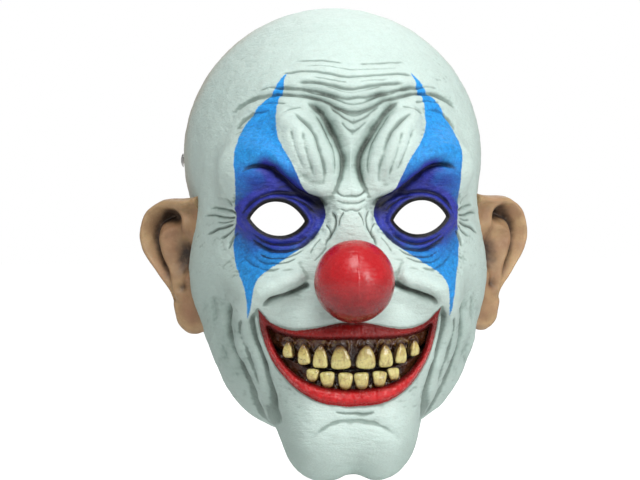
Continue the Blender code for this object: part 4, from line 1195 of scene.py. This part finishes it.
def build_strap():
    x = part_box("left_strap")[1][0] - STRAP_THICK / 2
    fold_y = STRAP_BACK_Y + FOLD
    left, right = side_route(x), side_route(x)
    sewn_x, sewn_y = RING_BARS[1] + 10 * MM, STRAP_BACK_Y + 2.1 * MM
    tail = np.array([(sewn_x - 4 * MM, fold_y + 0.8 * MM), (sewn_x, sewn_y), (sewn_x + 10 * MM, sewn_y)])
    left = np.vstack([left, arc((RING_BARS[1], fold_y), FOLD, 270, 90, 16), tail])
    right = np.vstack([right * (-1, 1), arc((RING_BARS[0], fold_y), FOLD, -90, 90, 16),
                       [(RING_BARS[0] - 1.5 * MM, fold_y + FOLD)]])
    for name, route in (("left_strap", left), ("right_strap", right)):
        band = webbing(name + "_elastic", route, STRAP_THICK)
        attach(band, "strap")
        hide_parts(name)
    wrap = 1.9 * MM
    route = np.vstack([[(RING_BARS[0] - 1.8 * MM, fold_y + FOLD), (SLIDER_X, fold_y + FOLD)],
                       arc((SLIDER_X, fold_y + FOLD - wrap), wrap, 90, 270, 16)[1:],
                       [(SLIDER_X + 4 * MM, fold_y + FOLD - 2 * wrap)]])
    band = webbing("strap_return_elastic", route, RETURN_THICK)
    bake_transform(band)
    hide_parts("strap_return")
    hole = 2.45
    for side, name in ((1, "left"), (-1, "right")):
        place = (0, HINGE_Y, STRAP_Z)
        a, b = across_head(name + "_rivet")
        head = [(0.02, b), (1.5, b - 0.1), (2.9, b - 0.45), (4.0, b - 1.0), (4.45, b - 1.4), (4.5, b - 1.6),
                (2.0, b - 1.65), (2.0, a + 1.3), (3.4, a + 1.2), (3.3, a + 0.7), (2.6, a + 0.2), (1.4, a),
                (0.9, a + 0.5), (0.02, a + 0.6)]
        turned(name + "_rivet_turned", head, place, side, STEEL, "mask", name + "_rivet", "rivet_steel")
        a, b = across_head(name + "_washer")
        ring = [(hole, b), (2.6, b + 0.02), (4.7, b), (5.0, b - 0.25), (5.0, a + 0.25), (4.7, a), (2.6, a),
                (hole, a + 0.1), (hole, b)]
        turned(name + "_washer_turned", ring, place, side, STEEL, "mask", name + "_washer", "rivet_steel")
        a, b = across_head(name + "_patch")
        disc = [(hole, b), (6.0, b), (7.6, b - 0.05), (8.0, b - 0.5), (7.9, a + 0.6), (7.2, a + 0.1),
                (5.0, a), (2.6, a), (hole, a + 0.1), (hole, b)]
        turned(name + "_patch_disc", disc, place, side, BARE, "mask", name + "_patch", "bare_latex")


FLESH = flesh_material()
TOOTH = tooth_material()
ELASTIC = elastic_material()
STEEL = steel_material()
PLASTIC = plastic_material()
build_nose()
build_gums()
index = 0
for row, teeth in (("upper", UPPER_TEETH), ("lower", LOWER_TEETH)):
    for number in range(2 * len(teeth)):
        side = -1 if number < len(teeth) else 1
        x, width, low, high = teeth[len(teeth) - 1 - number] if side < 0 else teeth[number - len(teeth)]
        build_tooth(f"{row}_tooth_{number + 1}", side * x, width, low, high, row == "upper", index)
        index += 1
build_ear(1, "left_ear_cast", "left_ear")
build_ear(-1, "right_ear_cast", "right_ear")
build_strap()
for node, finish in (("strap_ring", STEEL), ("strap_slider", PLASTIC)):
    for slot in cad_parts[node].material_slots:
        slot.material = finish


# ---------------------------------------------------------------- floor, light and camera

FLOOR_GAP = 0.012
FLOOR_GLOW, WORLD_LIGHT = 0.75, 0.37
LAMPS_AIM = Vector((0, 0, -0.01))
LAMPS = [("key", (0.0, -1.05, 1.35), 0.8, 18), ("front", (0.95, -1.45, 0.40), 0.7, 11),
         ("back", (0.2, 1.4, 1.3), 1.2, 10)]


def build_studio():
    low = CAD_BOX[0][2] - FLOOR_GAP
    floor = add_mesh("floor", [(-6, -4, low), (6, -4, low), (6, 9, low), (-6, 9, low)], [(0, 1, 2, 3)], False)
    m = Nodes("pale_floor")
    glow = m.math("MULTIPLY", m.add("ShaderNodeLightPath").outputs["Is Camera Ray"], FLOOR_GLOW)
    tone = m.mix(m.noise(3, 2), (0.80, 0.80, 0.80), (0.84, 0.84, 0.84))
    floor.data.materials.append(m.set(Base_Color=tone, Roughness=0.9, Emission_Color=(1, 1, 1, 1),
                                      Emission_Strength=glow))
    world = bpy.data.worlds.new("studio")
    world.use_nodes = True
    tree = world.node_tree
    tree.nodes["Background"].inputs["Strength"].default_value = WORLD_LIGHT
    backdrop = tree.nodes.new("ShaderNodeBackground")
    seen = tree.nodes.new("ShaderNodeLightPath")
    either = tree.nodes.new("ShaderNodeMixShader")
    tree.links.new(seen.outputs["Is Camera Ray"], either.inputs[0])
    tree.links.new(tree.nodes["Background"].outputs[0], either.inputs[1])
    tree.links.new(backdrop.outputs[0], either.inputs[2])
    tree.links.new(either.outputs[0], tree.nodes["World Output"].inputs["Surface"])
    for node in (tree.nodes["Background"], backdrop):
        node.inputs["Color"].default_value = (1, 1, 1, 1)
    bpy.context.scene.world = world
    for name, place, size, power in LAMPS:
        light = bpy.data.lights.new(name, "AREA")
        light.size, light.energy = size, power
        lamp = bpy.data.objects.new(name, light)
        lamp.location = place
        lamp.rotation_euler = (LAMPS_AIM - Vector(place)).to_track_quat("-Z", "Y").to_euler()
        bpy.context.scene.collection.objects.link(lamp)


def build_camera():
    azimuth, elevation, roll, distance = math.radians(-5.0), math.radians(0.5), math.radians(-0.6), 1.9
    width_m = 0.4045
    aim = Vector((-0.0110, 0, -0.0140))
    heading = Vector((math.sin(azimuth) * math.cos(elevation), -math.cos(azimuth) * math.cos(elevation),
                      math.sin(elevation)))
    camera = bpy.data.cameras.new("camera")
    camera.lens = camera.sensor_width * distance / width_m
    camera.clip_end = 50
    eye = bpy.data.objects.new("camera", camera)
    eye.location = aim + heading * distance
    look = (-heading).to_track_quat("-Z", "Y").to_matrix()
    eye.rotation_euler = (look @ Matrix.Rotation(roll, 3, "Z")).to_euler()
    bpy.context.scene.collection.objects.link(eye)
    bpy.context.scene.camera = eye
    bpy.context.scene.view_settings.view_transform = "Standard"


build_studio()
build_camera()
